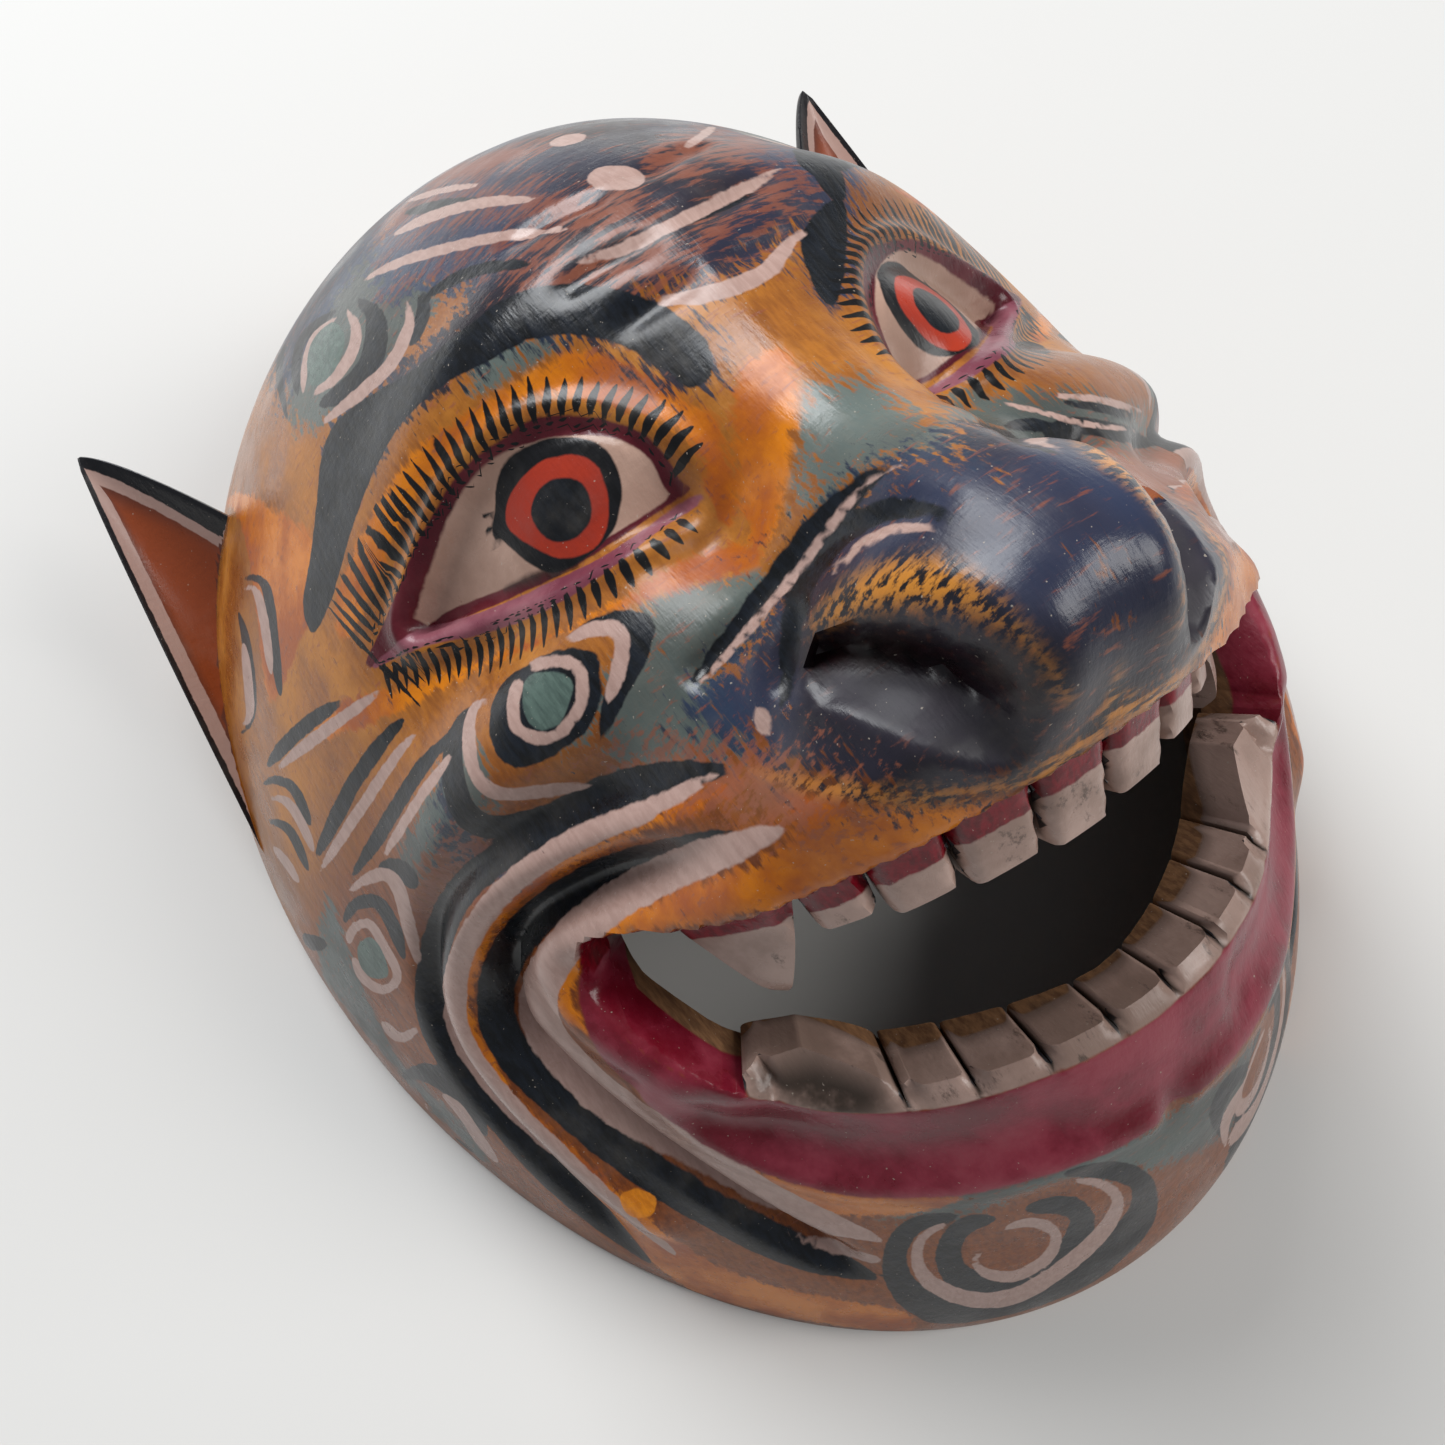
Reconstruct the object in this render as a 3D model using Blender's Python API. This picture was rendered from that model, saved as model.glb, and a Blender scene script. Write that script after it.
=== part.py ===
"""A carved wooden mask of a roaring feline, lying face up on the flat rim of its hollow back.

One block of wood: a dome for the head, with the snout, lips, teeth, smile folds, eyes and both
ears cut from it, hollowed from behind and open at the mouth. X runs across the face, Y from
chin to crown, Z out of the face. The origin is the middle of the back rim.
"""
import math

import bmesh
import bpy
import numpy as np

# Driving dimensions, in metres
HEAD_LENGTH = 0.240
HEAD_WIDTH = 0.179
HEAD_HEIGHT = 0.114
WALL = 0.008
EAR_LENGTH = 0.051
EAR_WIDTH = 0.057
EAR_DISH = 0.011
EAR_WALL = 0.005

# How round the dome is: 2 is an ellipse, less leans the sides in
PLAN_ROUNDNESS = 1.75
CROWN_SIDE = 1.30
JAW_SIDE = 1.40

# The carving's heights below are those of a head of this length; they keep their share of it
CARVED_LENGTH = 0.240
CARVING = HEAD_LENGTH / CARVED_LENGTH

# How finely the head is carved, and the share of its faces that is kept
HEAD_FINENESS = 7
THINNED_TO = 0.155
HOLLOW_FINENESS = 4

# The hollow keeps a wall's thickness from the lowest carving within these angles of each place
HOLLOW_REACH = (3.0, 6.0)
HOLLOW_SMOOTHINGS = 3
HOLLOW_TURN = 45
HOLLOW_EASING = 0.5

# The block is left this much deeper than the rim, and then cut flat
BACK_SPARE = 0.004

# The mouth's cutter starts at this share of the head's height and widens this many times
MOUTH_CUT_START = 0.25
MOUTH_CUT_REACH = 7.0

# Places on the face are two angles in degrees, seen from the middle of the back rim: across
# the face, and along it from chin (negative) to crown. (0, 0) is straight out of the face and
# 90 degrees away is the rim. Both halves are carved alike, so across is given for one of them.
EYE = [(9.2, -10.4), (9.6, -6.4), (11.8, -2.4), (15.9, 0.5), (20.8, 1.6), (26.8, 1.0), (32.2, -0.9),
       (25.5, -4.5), (18.9, -7.9), (13.0, -10.0)]
PUPIL = (16.4, -4.4)
RIGHT_EYE_SHIFT = (2.2, 1.6)
UPPER_LIP = [(0.0, -33.0), (6.5, -33.0), (12.0, -33.2), (18.0, -33.0), (25.0, -32.2), (30.0, -30.8)]
LIP_CORNER = [(34.4, -30.2), (36.6, -33.2)]
LOWER_LIP = [(36.2, -37.4), (31.0, -45.4), (25.0, -51.0), (18.0, -53.2), (10.0, -53.8), (0.0, -54.2)]
JAW_EDGE = [(39.0, -42.0), (36.0, -51.5), (29.0, -58.6), (21.0, -61.4), (12.0, -62.2), (0.0, -63.0)]
OPENING_CORNER = [(34.4, -31.6), (35.8, -33.8), (35.4, -37.4)]
INNER_FOLD = [(17.0, -29.4), (23.0, -28.2), (30.0, -27.0), (38.0, -26.4), (45.0, -28.2), (48.6, -33.0),
              (47.4, -39.8), (43.4, -50.4), (37.0, -63.0), (29.4, -73.6)]
OUTER_FOLD = [(15.0, -25.4), (24.8, -21.9), (35.0, -19.8), (44.2, -19.6), (53.6, -21.6), (60.6, -27.0),
              (63.4, -36.0), (60.4, -50.6), (56.4, -66.0)]
NOSTRIL_RIM = [(10.2, -23.0), (8.8, -22.1), (7.4, -22.9), (6.0, -24.2), (5.0, -25.7), (4.3, -27.5),
               (4.3, -29.2)]
NOSTRIL_SILL = [(4.8, -31.0), (6.3, -30.7), (7.9, -29.4), (9.4, -27.2), (10.6, -24.6)]
WING_CREASE = [(2.6, -20.9), (3.6, -19.5), (6.1, -19.0), (9.2, -20.8), (12.4, -24.5)]
BRIDGE_CREASE = [(2.0, -17.5), (5.7, -17.8), (8.4, -18.5), (11.9, -19.3), (16.3, -20.2)]
FOREHEAD_CREASES = [[(0.0, 4.2), (9.6, 6.0)], [(0.0, 0.2), (7.8, 1.2)], [(0.0, 10.0), (9.0, 13.6)]]

# Teeth of one half of each row, from the middle out: where each ends across, and its length.
# The last of each row is the fang, with its own taper; the rest are square with round corners.
UPPER_TEETH = [(2.6, 6.2), (8.0, 5.6), (13.0, 4.8), (17.6, 4.0), (27.6, 9.6)]
LOWER_TEETH = [(2.6, 1.0), (8.0, 1.0), (13.4, 1.0), (18.6, 1.2), (29.6, 4.4)]
UPPER_FANG_TAPER = 0.8
LOWER_FANG_TAPER = 0.45
UPPER_GUM = 0.6
LOWER_GUM = 0.3
TOOTH_SQUARENESS = 6.0

# How far across the opening is drawn, and at how many places
OPENING_SAMPLES = (31.0, 32)

# Swellings and hollows: the middle, the spread across and along, how square, and the height
SWELLINGS = {
    'muzzle': ((0.0, -38.0), (37.0, 22.0), 3.4, 0.0055),
    'chin': ((0.0, -60.0), (22.0, 15.0), 3.0, 0.0065),
    'brow': ((16.0, 7.0), (13.0, 6.0), 2.0, 0.0030),
    'cheek': ((25.0, -15.5), (12.0, 6.0), 2.6, 0.0050),
    'side of the cheek': ((40.0, -17.0), (10.0, 7.0), 2.2, 0.0040),
    'upper lip': ((18.0, -28.6), (8.0, 4.0), 2.2, 0.0045),
    'beside the wing': ((16.5, -24.0), (7.0, 5.0), 2.2, 0.0045),
    'eye socket': ((21.0, -5.0), (13.5, 8.0), 2.6, -0.0055),
    'corner beside the nose': ((8.8, -12.6), (3.6, 4.6), 2.0, -0.0060),
}

# The snout: its height along the middle of the face, and half its breadth, by place along
SNOUT = [(0.0000, 40.0), (0.0010, 20.0), (0.0005, 8.0), (0.0, 1.0), (0.0015, -5.0), (0.0075, -12.5),
         (0.0150, -16.5), (0.0245, -20.0), (0.0310, -23.5), (0.0325, -26.0), (0.0300, -28.5),
         (0.0235, -31.0), (0.0185, -34.0), (0.0115, -40.0), (0.0040, -47.0), (0.0, -52.0)]
SNOUT_BREADTH = [(24.0, -40.0), (21.0, -34.0), (16.5, -31.0), (12.5, -28.0), (10.4, -25.0), (9.6, -22.0),
                 (8.4, -18.0), (6.8, -12.0), (6.2, -6.0), (9.0, 2.0)]
SNOUT_SQUARENESS = 2.3

# The eye: a ball in a sunk almond, with a raised rim of lid round it
EYEBALL_SPREAD = (10.5, 6.4)
EYEBALL_RISE = 0.0062
EYE_SINK = 0.0032
EYE_EDGE = (-0.3, 0.6)
LID = (-1.3, 1.1, 0.0018)

# The nostril: a scoop, deepest right under the wing's edge, with the wing raised round it
NOSTRIL_EDGE = (-0.2, 0.7)
NOSTRIL_DEPTH = 0.0105
NOSTRIL_SLOPE = 4.2
WING = (1.6, 1.3, 0.0016)

# Inside the lips: how far the upper teeth lie back, and how the lower ones lean in by the degree
LIP_EDGE = (-0.1, 0.8)
UPPER_TEETH_BACK = 0.0075
LOWER_TEETH_LEAN = 0.0012
LOWER_TEETH_DEEPEST = 9.0
ROW_BLEND = 6.0
TOOTH_GAP = (0.42, 0.0016)
TOOTH_ROOT = 0.8

# The right ear: where it leaves the face, how deep its root is sunk in the dome, the way to its
# tip and the way along its root; the left ear is its mirror image. A share of its length is buried.
EAR_PLACE = (65.3, 34.4)
EAR_SINK = 0.0043
EAR_AIM = (0.005, 0.0485, 0.016)
EAR_SPREAD = (0.026, -0.043, -0.026)
EAR_BURIED = 0.10
EAR_TAPER = 0.85
EAR_TIP_WALL = 0.35
EAR_RIM_ROUNDNESS = 0.4
EAR_SEGMENTS = (20, 10)

# Smooth lines are drawn with this many steps to a span, and the dome's radius is found in this
# many; lengths below the last are taken as nothing
CURVE_STEPS = 8
RADIUS_STEPS = 12
TINY = 1e-6


def between(one, other):
    """The places half way from one line to another."""
    return [((a + c) / 2.0, (b + d) / 2.0) for (a, b), (c, d) in zip(one, other)]


def moved(line, across, along):
    """The line, moved by two angles."""
    return [(a + across, b + along) for a, b in line]


# Furrows and ridges: the line, half its width, its height, and the share that fades at each end
FURROWS = {
    'inner smile fold': (INNER_FOLD, 1.7, -0.0050, 0.12),
    'outer smile fold': (OUTER_FOLD, 2.0, -0.0030, 0.12),
    'ridge between the folds': (between(INNER_FOLD, OUTER_FOLD), 3.0, 0.0032, 0.12),
    'lip round the corner': (moved(UPPER_LIP[2:] + LIP_CORNER + LOWER_LIP[:3], 3.0, 1.0), 3.0, 0.0028, 0.12),
    'crease round the wing': (WING_CREASE, 0.9, -0.0030, 0.12),
    'crease beside the bridge': (BRIDGE_CREASE, 0.9, -0.0022, 0.12),
    'edge of the jaw': (JAW_EDGE, 2.0, 0.0016, 0.05),
    'dish of the lower lip': (between(JAW_EDGE, LOWER_LIP[1:]), 3.0, -0.0016, 0.12),
    'first forehead crease': (FOREHEAD_CREASES[0], 1.0, -0.0012, 0.30),
    'second forehead crease': (FOREHEAD_CREASES[1], 1.0, -0.0012, 0.30),
    'third forehead crease': (FOREHEAD_CREASES[2], 1.0, -0.0012, 0.30),
}


def curve(points, closed=False):
    """A smooth line through the points, as a dense list of places."""
    knots = np.array(points, float)
    if closed:
        knots = np.vstack([knots[-1:], knots, knots[:2]])
    else:
        knots = np.vstack([2 * knots[:1] - knots[1:2], knots, 2 * knots[-1:] - knots[-2:-1]])
    share = np.linspace(0.0, 1.0, CURVE_STEPS, endpoint=False)[:, None]
    spans = []
    for a, b, c, d in zip(knots[:-3], knots[1:-2], knots[2:-1], knots[3:]):
        spans.append(0.5 * (2 * b + (c - a) * share + (2 * a - 5 * b + 4 * c - d) * share ** 2
                            + (3 * b - a - 3 * c + d) * share ** 3))
    if not closed:
        spans.append(knots[-2:-1])
    return np.vstack(spans)


def to_line(places, line):
    """Distance from each place to a line, and the share of the line's length there."""
    lengths = np.linalg.norm(np.diff(line, axis=0), axis=1)
    run = np.concatenate([[0.0], np.cumsum(lengths)])
    best = np.full(len(places), np.inf)
    share = np.zeros(len(places))
    for start, end, length, before in zip(line[:-1], line[1:], lengths, run):
        step = (end - start) / length
        away = places - start
        foot = np.clip(away @ step, 0.0, length)
        gap = np.linalg.norm(away - foot[:, None] * step, axis=1)
        nearer = gap < best
        best[nearer] = gap[nearer]
        share[nearer] = (before + foot[nearer]) / run[-1]
    return best, share


def into(places, outline):
    """Distance to a closed outline, positive inside it and negative outside."""
    ring = np.vstack([outline, outline[:1]])
    ring = ring[np.append(True, np.linalg.norm(np.diff(ring, axis=0), axis=1) > TINY)]
    gap, _ = to_line(places, ring)
    x, y = places[:, 0], places[:, 1]
    crossings = np.zeros(len(places), int)
    for (ax, ay), (bx, by) in zip(ring[:-1], ring[1:]):
        if ay == by:
            continue
        straddles = (ay > y) != (by > y)
        crossings += straddles & (x < ax + (y - ay) * (bx - ax) / (by - ay))
    return np.where(crossings % 2 == 1, gap, -gap)


def ease(value, edge=(0.0, 1.0)):
    """A smooth step, 0 below the edge's first value and 1 above its second."""
    held = np.clip((value - edge[0]) / (edge[1] - edge[0]), 0.0, 1.0)
    return held * held * (3.0 - 2.0 * held)


def mound(places, centre, spread, squareness=2.0):
    """A round swelling, 1 at its centre, that dies away beyond its spread."""
    away = (places - np.array(centre)) / np.array(spread)
    return np.exp(-np.sum(away ** 2, axis=1) ** (squareness / 2.0))


def band(distance, middle, half_width):
    """A rounded band, 1 where the distance is at its middle."""
    return np.exp(-((distance - middle) / half_width) ** 2)


def groove(places, points, half_width, fade):
    """A rounded furrow along a line, 1 at its middle, that runs out at both ends."""
    gap, share = to_line(places, curve(points))
    return band(gap, 0.0, half_width) * ease(share / fade) * ease((1.0 - share) / fade)


def read_along(along, points):
    """The first value of a smooth line's points at each place along the face."""
    line = curve(points)
    line = line[np.argsort(line[:, 1])]
    return np.interp(along, line[:, 1], line[:, 0])


def upper_row(across):
    """Where the upper lip meets its teeth, along the face, at each place across it."""
    line = curve(UPPER_LIP + LIP_CORNER[:1])
    return np.interp(across, line[:, 0], line[:, 1])


def lower_row(across):
    """Where the lower lip meets its teeth, along the face, at each place across it."""
    line = curve(LOWER_LIP)[::-1]
    return np.interp(across, line[:, 0], line[:, 1])


def tooth_length(across, teeth, fang_taper):
    """How far the teeth of a row stand out of the gum, with a notch at each gap."""
    length = np.zeros(len(across))
    start = -teeth[0][0]
    for end, reach in teeth:
        middle = (start + end) / 2.0
        near = np.clip(np.abs(across - middle) / (end - middle), 0.0, 1.0)
        fang = end == teeth[-1][0]
        shape = (1.0 - near) ** fang_taper if fang else (1.0 - near ** TOOTH_SQUARENESS) ** 0.5
        length = np.maximum(length, reach * shape)
        start = end
    return length


def mouth_outline():
    """The edge of the opening of one half: upper teeth, corner, and lower teeth."""
    across = np.unique(np.concatenate([np.linspace(0.0, *OPENING_SAMPLES),
                                       [end for end, _ in UPPER_TEETH + LOWER_TEETH]]))
    top = upper_row(across) - UPPER_GUM - tooth_length(across, UPPER_TEETH, UPPER_FANG_TAPER)
    bottom = lower_row(across) + LOWER_GUM + tooth_length(across, LOWER_TEETH, LOWER_FANG_TAPER)
    upper = np.column_stack([across, top])
    lower = np.column_stack([across, bottom])[::-1]
    return np.vstack([upper, OPENING_CORNER, lower])


def snout(across, along):
    """Height of the bridge and the round nose."""
    breadth = np.interp(along, [place for _, place in SNOUT_BREADTH], [half for half, _ in SNOUT_BREADTH])
    return read_along(along, SNOUT) * np.exp(-(across / breadth) ** SNOUT_SQUARENESS)


def eye(places, right):
    """Height of the eyeball in its almond, and of the lid's rim round it."""
    seen = places + right[:, None] * np.array(RIGHT_EYE_SHIFT)
    almond = into(seen, curve(EYE, closed=True))
    eyeball = EYEBALL_RISE * mound(seen, PUPIL, EYEBALL_SPREAD) - EYE_SINK
    middle, half_width, lid_rise = LID
    return ease(almond, EYE_EDGE) * eyeball + lid_rise * band(almond, middle, half_width)


def nostril(places):
    """Height of the nostril: it deepens from its sill to the edge of the wing over it."""
    rim = curve(NOSTRIL_RIM)
    sill = curve(NOSTRIL_SILL)
    inside = into(places, np.vstack([rim, sill]))
    from_rim, _ = to_line(places, rim)
    from_sill, _ = to_line(places, sill)
    depth = NOSTRIL_DEPTH * ease(inside, NOSTRIL_EDGE) * np.clip(from_sill / NOSTRIL_SLOPE, 0.0, 1.0)
    middle, half_width, wing_rise = WING
    return wing_rise * band(from_rim, middle, half_width) * (inside < 0.0) - depth


def teeth(places):
    """Height of both rows of teeth, behind the lips that they stand in."""
    across, along = places.T
    inside = curve(UPPER_LIP + LIP_CORNER + LOWER_LIP)
    within = ease(into(places, np.vstack([inside, -inside[::-1] * (1, -1)])), LIP_EDGE)
    from_top = upper_row(across) - along
    from_bottom = along - lower_row(across)
    upper_share = ease((from_bottom - from_top) / ROW_BLEND + 0.5)
    height = -UPPER_TEETH_BACK * within * upper_share
    lean = LOWER_TEETH_LEAN * np.clip(from_bottom, 0.0, LOWER_TEETH_DEEPEST)
    height -= lean * within * (1.0 - upper_share)
    half_width, depth = TOOTH_GAP
    for row, sizes in ((from_top, UPPER_TEETH), (from_bottom, LOWER_TEETH)):
        for end, _ in sizes:
            height -= depth * band(across, end, half_width) * within * ease(row / TOOTH_ROOT)
    return height


def rise(both, with_teeth=True):
    """How far the carving stands over the plain dome, in metres, at each place."""
    places = np.column_stack([np.abs(both[:, 0]), both[:, 1]])
    height = snout(*places.T) + eye(places, both[:, 0] > 0.0) + nostril(places)
    for centre, spread, squareness, tall in SWELLINGS.values():
        height += tall * mound(places, centre, spread, squareness)
    for line, half_width, tall, fade in FURROWS.values():
        height += tall * groove(places, line, half_width, fade)
    if with_teeth:
        height += teeth(places)
    return height * CARVING


def dome_radius(direction):
    """Distance from the middle of the back rim to the plain dome, along each direction."""
    x, y, z = direction.T
    flat = np.hypot(x, y)
    turn = np.arctan2(y, x)
    rim = 1.0 / np.hypot(np.cos(turn) / (HEAD_WIDTH / 2.0), np.sin(turn) / (HEAD_LENGTH / 2.0))
    towards_chin = 0.5 - 0.5 * np.sin(turn)
    side = CROWN_SIDE + (JAW_SIDE - CROWN_SIDE) * towards_chin
    up = np.abs(z)
    radius = rim.copy()
    for _ in range(RADIUS_STEPS):
        outward = (radius * flat / rim) ** PLAN_ROUNDNESS
        upward = (radius * up / HEAD_HEIGHT) ** side
        slope = (PLAN_ROUNDNESS * outward + side * upward) / radius
        radius -= (outward + upward - 1.0) / slope
    return radius


def to_places(direction):
    """The two angles of each direction, seen from the middle of the back rim."""
    tilt = np.degrees(np.arccos(np.clip(direction[:, 2], -1.0, 1.0)))
    turn = np.arctan2(direction[:, 1], direction[:, 0])
    return np.column_stack([tilt * np.cos(turn), tilt * np.sin(turn)])


def to_directions(places):
    """The direction of each place given by its two angles."""
    tilt = np.radians(np.hypot(places[:, 0], places[:, 1]))
    turn = np.arctan2(places[:, 1], places[:, 0])
    return np.column_stack([np.sin(tilt) * np.cos(turn), np.sin(tilt) * np.sin(turn), np.cos(tilt)])


def face_radius(direction, with_teeth=True):
    """Distance from the middle of the back rim to the carved face, along each direction."""
    return dome_radius(direction) + rise(to_places(direction), with_teeth)


def round_ball(fineness):
    """A round mesh of unit radius, and its corners' places as an array."""
    mesh = bmesh.new()
    bmesh.ops.create_icosphere(mesh, subdivisions=fineness, radius=1.0)
    corners = np.array([corner.co for corner in mesh.verts])
    return mesh, corners / np.linalg.norm(corners, axis=1)[:, None]


def move_corners(mesh, places):
    """Move the mesh's corners to their new places."""
    for corner, place in zip(mesh.verts, places):
        corner.co = place


def solid(name, mesh, material=None):
    """Put a finished mesh into the scene as an object; one with no material is a cutter."""
    bmesh.ops.recalc_face_normals(mesh, faces=mesh.faces)
    data = bpy.data.meshes.new(name)
    mesh.to_mesh(data)
    mesh.free()
    made = bpy.data.objects.new(name, data)
    bpy.context.scene.collection.objects.link(made)
    if material:
        data.materials.append(material)
    else:
        made.hide_render = True
        made.display_type = 'WIRE'
    return made


def head():
    """The outside of the head: a ball pulled out to the carved face, cut a little below the rim."""
    mesh, direction = round_ball(HEAD_FINENESS)
    move_corners(mesh, direction * face_radius(direction)[:, None])
    cut = bmesh.ops.bisect_plane(mesh, geom=mesh.verts[:] + mesh.edges[:] + mesh.faces[:],
                                 plane_co=(0.0, 0.0, -BACK_SPARE), plane_no=(0.0, 0.0, -1.0),
                                 clear_outer=True)
    edges = [item for item in cut['geom_cut'] if isinstance(item, bmesh.types.BMEdge)]
    bmesh.ops.holes_fill(mesh, edges=edges)
    return mesh


def hollow():
    """The space behind the face: it follows the outside, a wall's thickness in from its lows."""
    mesh, direction = round_ball(HOLLOW_FINENESS)
    upward = direction * (1.0, 1.0, 0.0) + np.abs(direction) * (0.0, 0.0, 1.0)
    lowest = face_radius(upward, with_teeth=False)
    aside = np.cross(upward, (0.0, 1.0, 0.0))
    aside /= np.maximum(np.linalg.norm(aside, axis=1), TINY)[:, None]
    other = np.cross(upward, aside)
    for reach in np.radians(HOLLOW_REACH):
        for turn in np.radians(np.arange(0, 360, HOLLOW_TURN)):
            near = upward + math.tan(reach) * (math.cos(turn) * aside + math.sin(turn) * other)
            near[:, 2] = np.abs(near[:, 2])
            near /= np.linalg.norm(near, axis=1)[:, None]
            lowest = np.minimum(lowest, face_radius(near, with_teeth=False))
    move_corners(mesh, direction * (lowest - WALL)[:, None])
    for _ in range(HOLLOW_SMOOTHINGS):
        bmesh.ops.smooth_vert(mesh, verts=mesh.verts, factor=HOLLOW_EASING, use_axis_x=True, use_axis_y=True,
                              use_axis_z=True)
    return mesh


def mouth():
    """The cutter of the mouth's opening, spreading out from the middle of the back rim."""
    half = mouth_outline()
    whole = np.vstack([half, (half * (-1, 1))[::-1][1:-1]])
    mesh = bmesh.new()
    bmesh.ops.create_circle(mesh, cap_ends=True, segments=len(whole), radius=1.0)
    move_corners(mesh, to_directions(whole) * HEAD_HEIGHT * MOUTH_CUT_START)
    outer = bmesh.ops.extrude_face_region(mesh, geom=mesh.faces[:])
    for item in outer['geom']:
        if isinstance(item, bmesh.types.BMVert):
            item.co *= MOUTH_CUT_REACH
    bmesh.ops.triangulate(mesh, faces=mesh.faces)
    return mesh


def unit(vector, side):
    """The vector at unit length, for the ear on the given side."""
    sided = np.array(vector) * (side, 1.0, 1.0)
    return sided / np.linalg.norm(sided)


def ear(side):
    """One ear: a pointed dished leaf that leaves the side of the head towards the crown."""
    out_of_head = to_directions(np.array([EAR_PLACE])) * (side, 1.0, 1.0)
    root = out_of_head[0] * (dome_radius(out_of_head)[0] - EAR_SINK * CARVING)
    aim = unit(EAR_AIM, side)
    spread = unit(EAR_SPREAD, side)
    front = np.cross(spread, aim) * side
    front /= np.linalg.norm(front)
    around, rows = EAR_SEGMENTS
    mesh = bmesh.new()
    bmesh.ops.create_uvsphere(mesh, u_segments=around, v_segments=rows, radius=1.0)
    for corner in mesh.verts:
        share = math.acos(max(-1.0, min(1.0, corner.co.z))) / math.pi
        out = (1.0 + EAR_BURIED) * (1.0 - share) - EAR_BURIED
        ring = max(math.hypot(corner.co.x, corner.co.y), TINY)
        across = corner.co.x / ring
        through = corner.co.y / ring
        narrowing = (1.0 - max(out, 0.0)) ** EAR_TAPER
        dish = -EAR_DISH * through ** 2 * narrowing
        wall = EAR_WALL / 2.0 * abs(through) ** EAR_RIM_ROUNDNESS
        wall *= EAR_TIP_WALL + (1.0 - EAR_TIP_WALL) * narrowing
        depth = dish + math.copysign(wall, through)
        beside = EAR_WIDTH / 2.0 * narrowing * across
        corner.co = root + aim * (EAR_LENGTH * out) + spread * beside + front * depth
    return mesh


def floor():
    """Everything below the flat of the back rim."""
    mesh = bmesh.new()
    bmesh.ops.create_cube(mesh, size=1.0)
    bmesh.ops.scale(mesh, vec=(2.0 * HEAD_LENGTH, 2.0 * HEAD_LENGTH, HEAD_LENGTH), verts=mesh.verts)
    bmesh.ops.translate(mesh, vec=(0.0, 0.0, -HEAD_LENGTH / 2.0), verts=mesh.verts)
    return mesh


def painted_wood():
    """Dark amber varnish over carved wood."""
    made = bpy.data.materials.new('painted_wood')
    made.use_nodes = True
    shader = made.node_tree.nodes['Principled BSDF']
    shader.inputs['Base Color'].default_value = (0.30, 0.13, 0.03, 1.0)
    shader.inputs['Roughness'].default_value = 0.35
    shader.inputs['Metallic'].default_value = 0.0
    return made


def build():
    """Make the mask."""
    for old in list(bpy.data.objects):
        bpy.data.objects.remove(old)
    mask = solid('mask', head(), painted_wood())
    thinned = mask.modifiers.new('thinned', 'DECIMATE')
    thinned.ratio = THINNED_TO
    steps = [('left_ear', 'UNION', ear(-1.0)), ('right_ear', 'UNION', ear(1.0)),
             ('flat_back', 'DIFFERENCE', floor()), ('hollow', 'DIFFERENCE', hollow()),
             ('mouth', 'DIFFERENCE', mouth())]
    for name, operation, form in steps:
        change = mask.modifiers.new(name, 'BOOLEAN')
        change.operation = operation
        change.solver = 'EXACT'
        change.object = solid(name + '_form', form)


build()
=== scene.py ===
import math

import bmesh
import bpy
import numpy as np
from mathutils import Matrix, Vector
from mathutils.bvhtree import BVHTree


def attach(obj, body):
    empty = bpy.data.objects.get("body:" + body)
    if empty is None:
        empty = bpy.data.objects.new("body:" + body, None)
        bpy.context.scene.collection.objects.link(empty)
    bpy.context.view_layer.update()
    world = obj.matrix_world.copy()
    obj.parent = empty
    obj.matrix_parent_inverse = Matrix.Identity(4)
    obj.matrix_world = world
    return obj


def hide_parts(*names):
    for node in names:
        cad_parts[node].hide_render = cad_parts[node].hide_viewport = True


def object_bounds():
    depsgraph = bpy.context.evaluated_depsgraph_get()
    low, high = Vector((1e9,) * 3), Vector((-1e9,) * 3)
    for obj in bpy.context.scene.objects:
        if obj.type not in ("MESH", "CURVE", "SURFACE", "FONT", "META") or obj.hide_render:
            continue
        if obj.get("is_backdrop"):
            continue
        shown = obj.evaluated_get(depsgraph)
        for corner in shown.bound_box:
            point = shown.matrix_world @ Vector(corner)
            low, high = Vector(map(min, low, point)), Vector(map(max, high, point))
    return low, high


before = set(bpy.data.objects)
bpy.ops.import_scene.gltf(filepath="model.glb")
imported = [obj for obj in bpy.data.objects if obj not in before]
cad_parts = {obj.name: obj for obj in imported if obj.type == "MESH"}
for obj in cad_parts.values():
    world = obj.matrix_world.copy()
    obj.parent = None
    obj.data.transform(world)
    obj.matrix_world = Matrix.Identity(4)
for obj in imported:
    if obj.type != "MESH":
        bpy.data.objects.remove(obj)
cad_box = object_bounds()

# The camera. It stands over the mask's left cheek and chin and looks down at the face. The
# photograph's frame is square, and the painted shapes further down were read off it in its pixels.
FRAME_PIXELS = 1445.0
SENSOR = 36.0
CAMERA_PLACE = (-0.0659, -0.1014, 0.2442)
CAMERA_FOCUS = 1428.7
CAMERA_AHEAD = (0.22992, 0.36137, -0.90363)
CAMERA_ROLL = 1.97
lens = bpy.data.cameras.new('camera')
lens.sensor_width = SENSOR
lens.lens = SENSOR * CAMERA_FOCUS / FRAME_PIXELS
lens.clip_start = 0.01
camera = bpy.data.objects.new('camera', lens)
rolled = Matrix.Rotation(math.radians(-CAMERA_ROLL), 3, 'Z')
camera_turn = Vector(CAMERA_AHEAD).to_track_quat('-Z', 'Y').to_matrix() @ rolled
camera.matrix_world = Matrix.Translation(CAMERA_PLACE) @ camera_turn.to_4x4()
bpy.context.scene.collection.objects.link(camera)
bpy.context.scene.camera = camera

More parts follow.
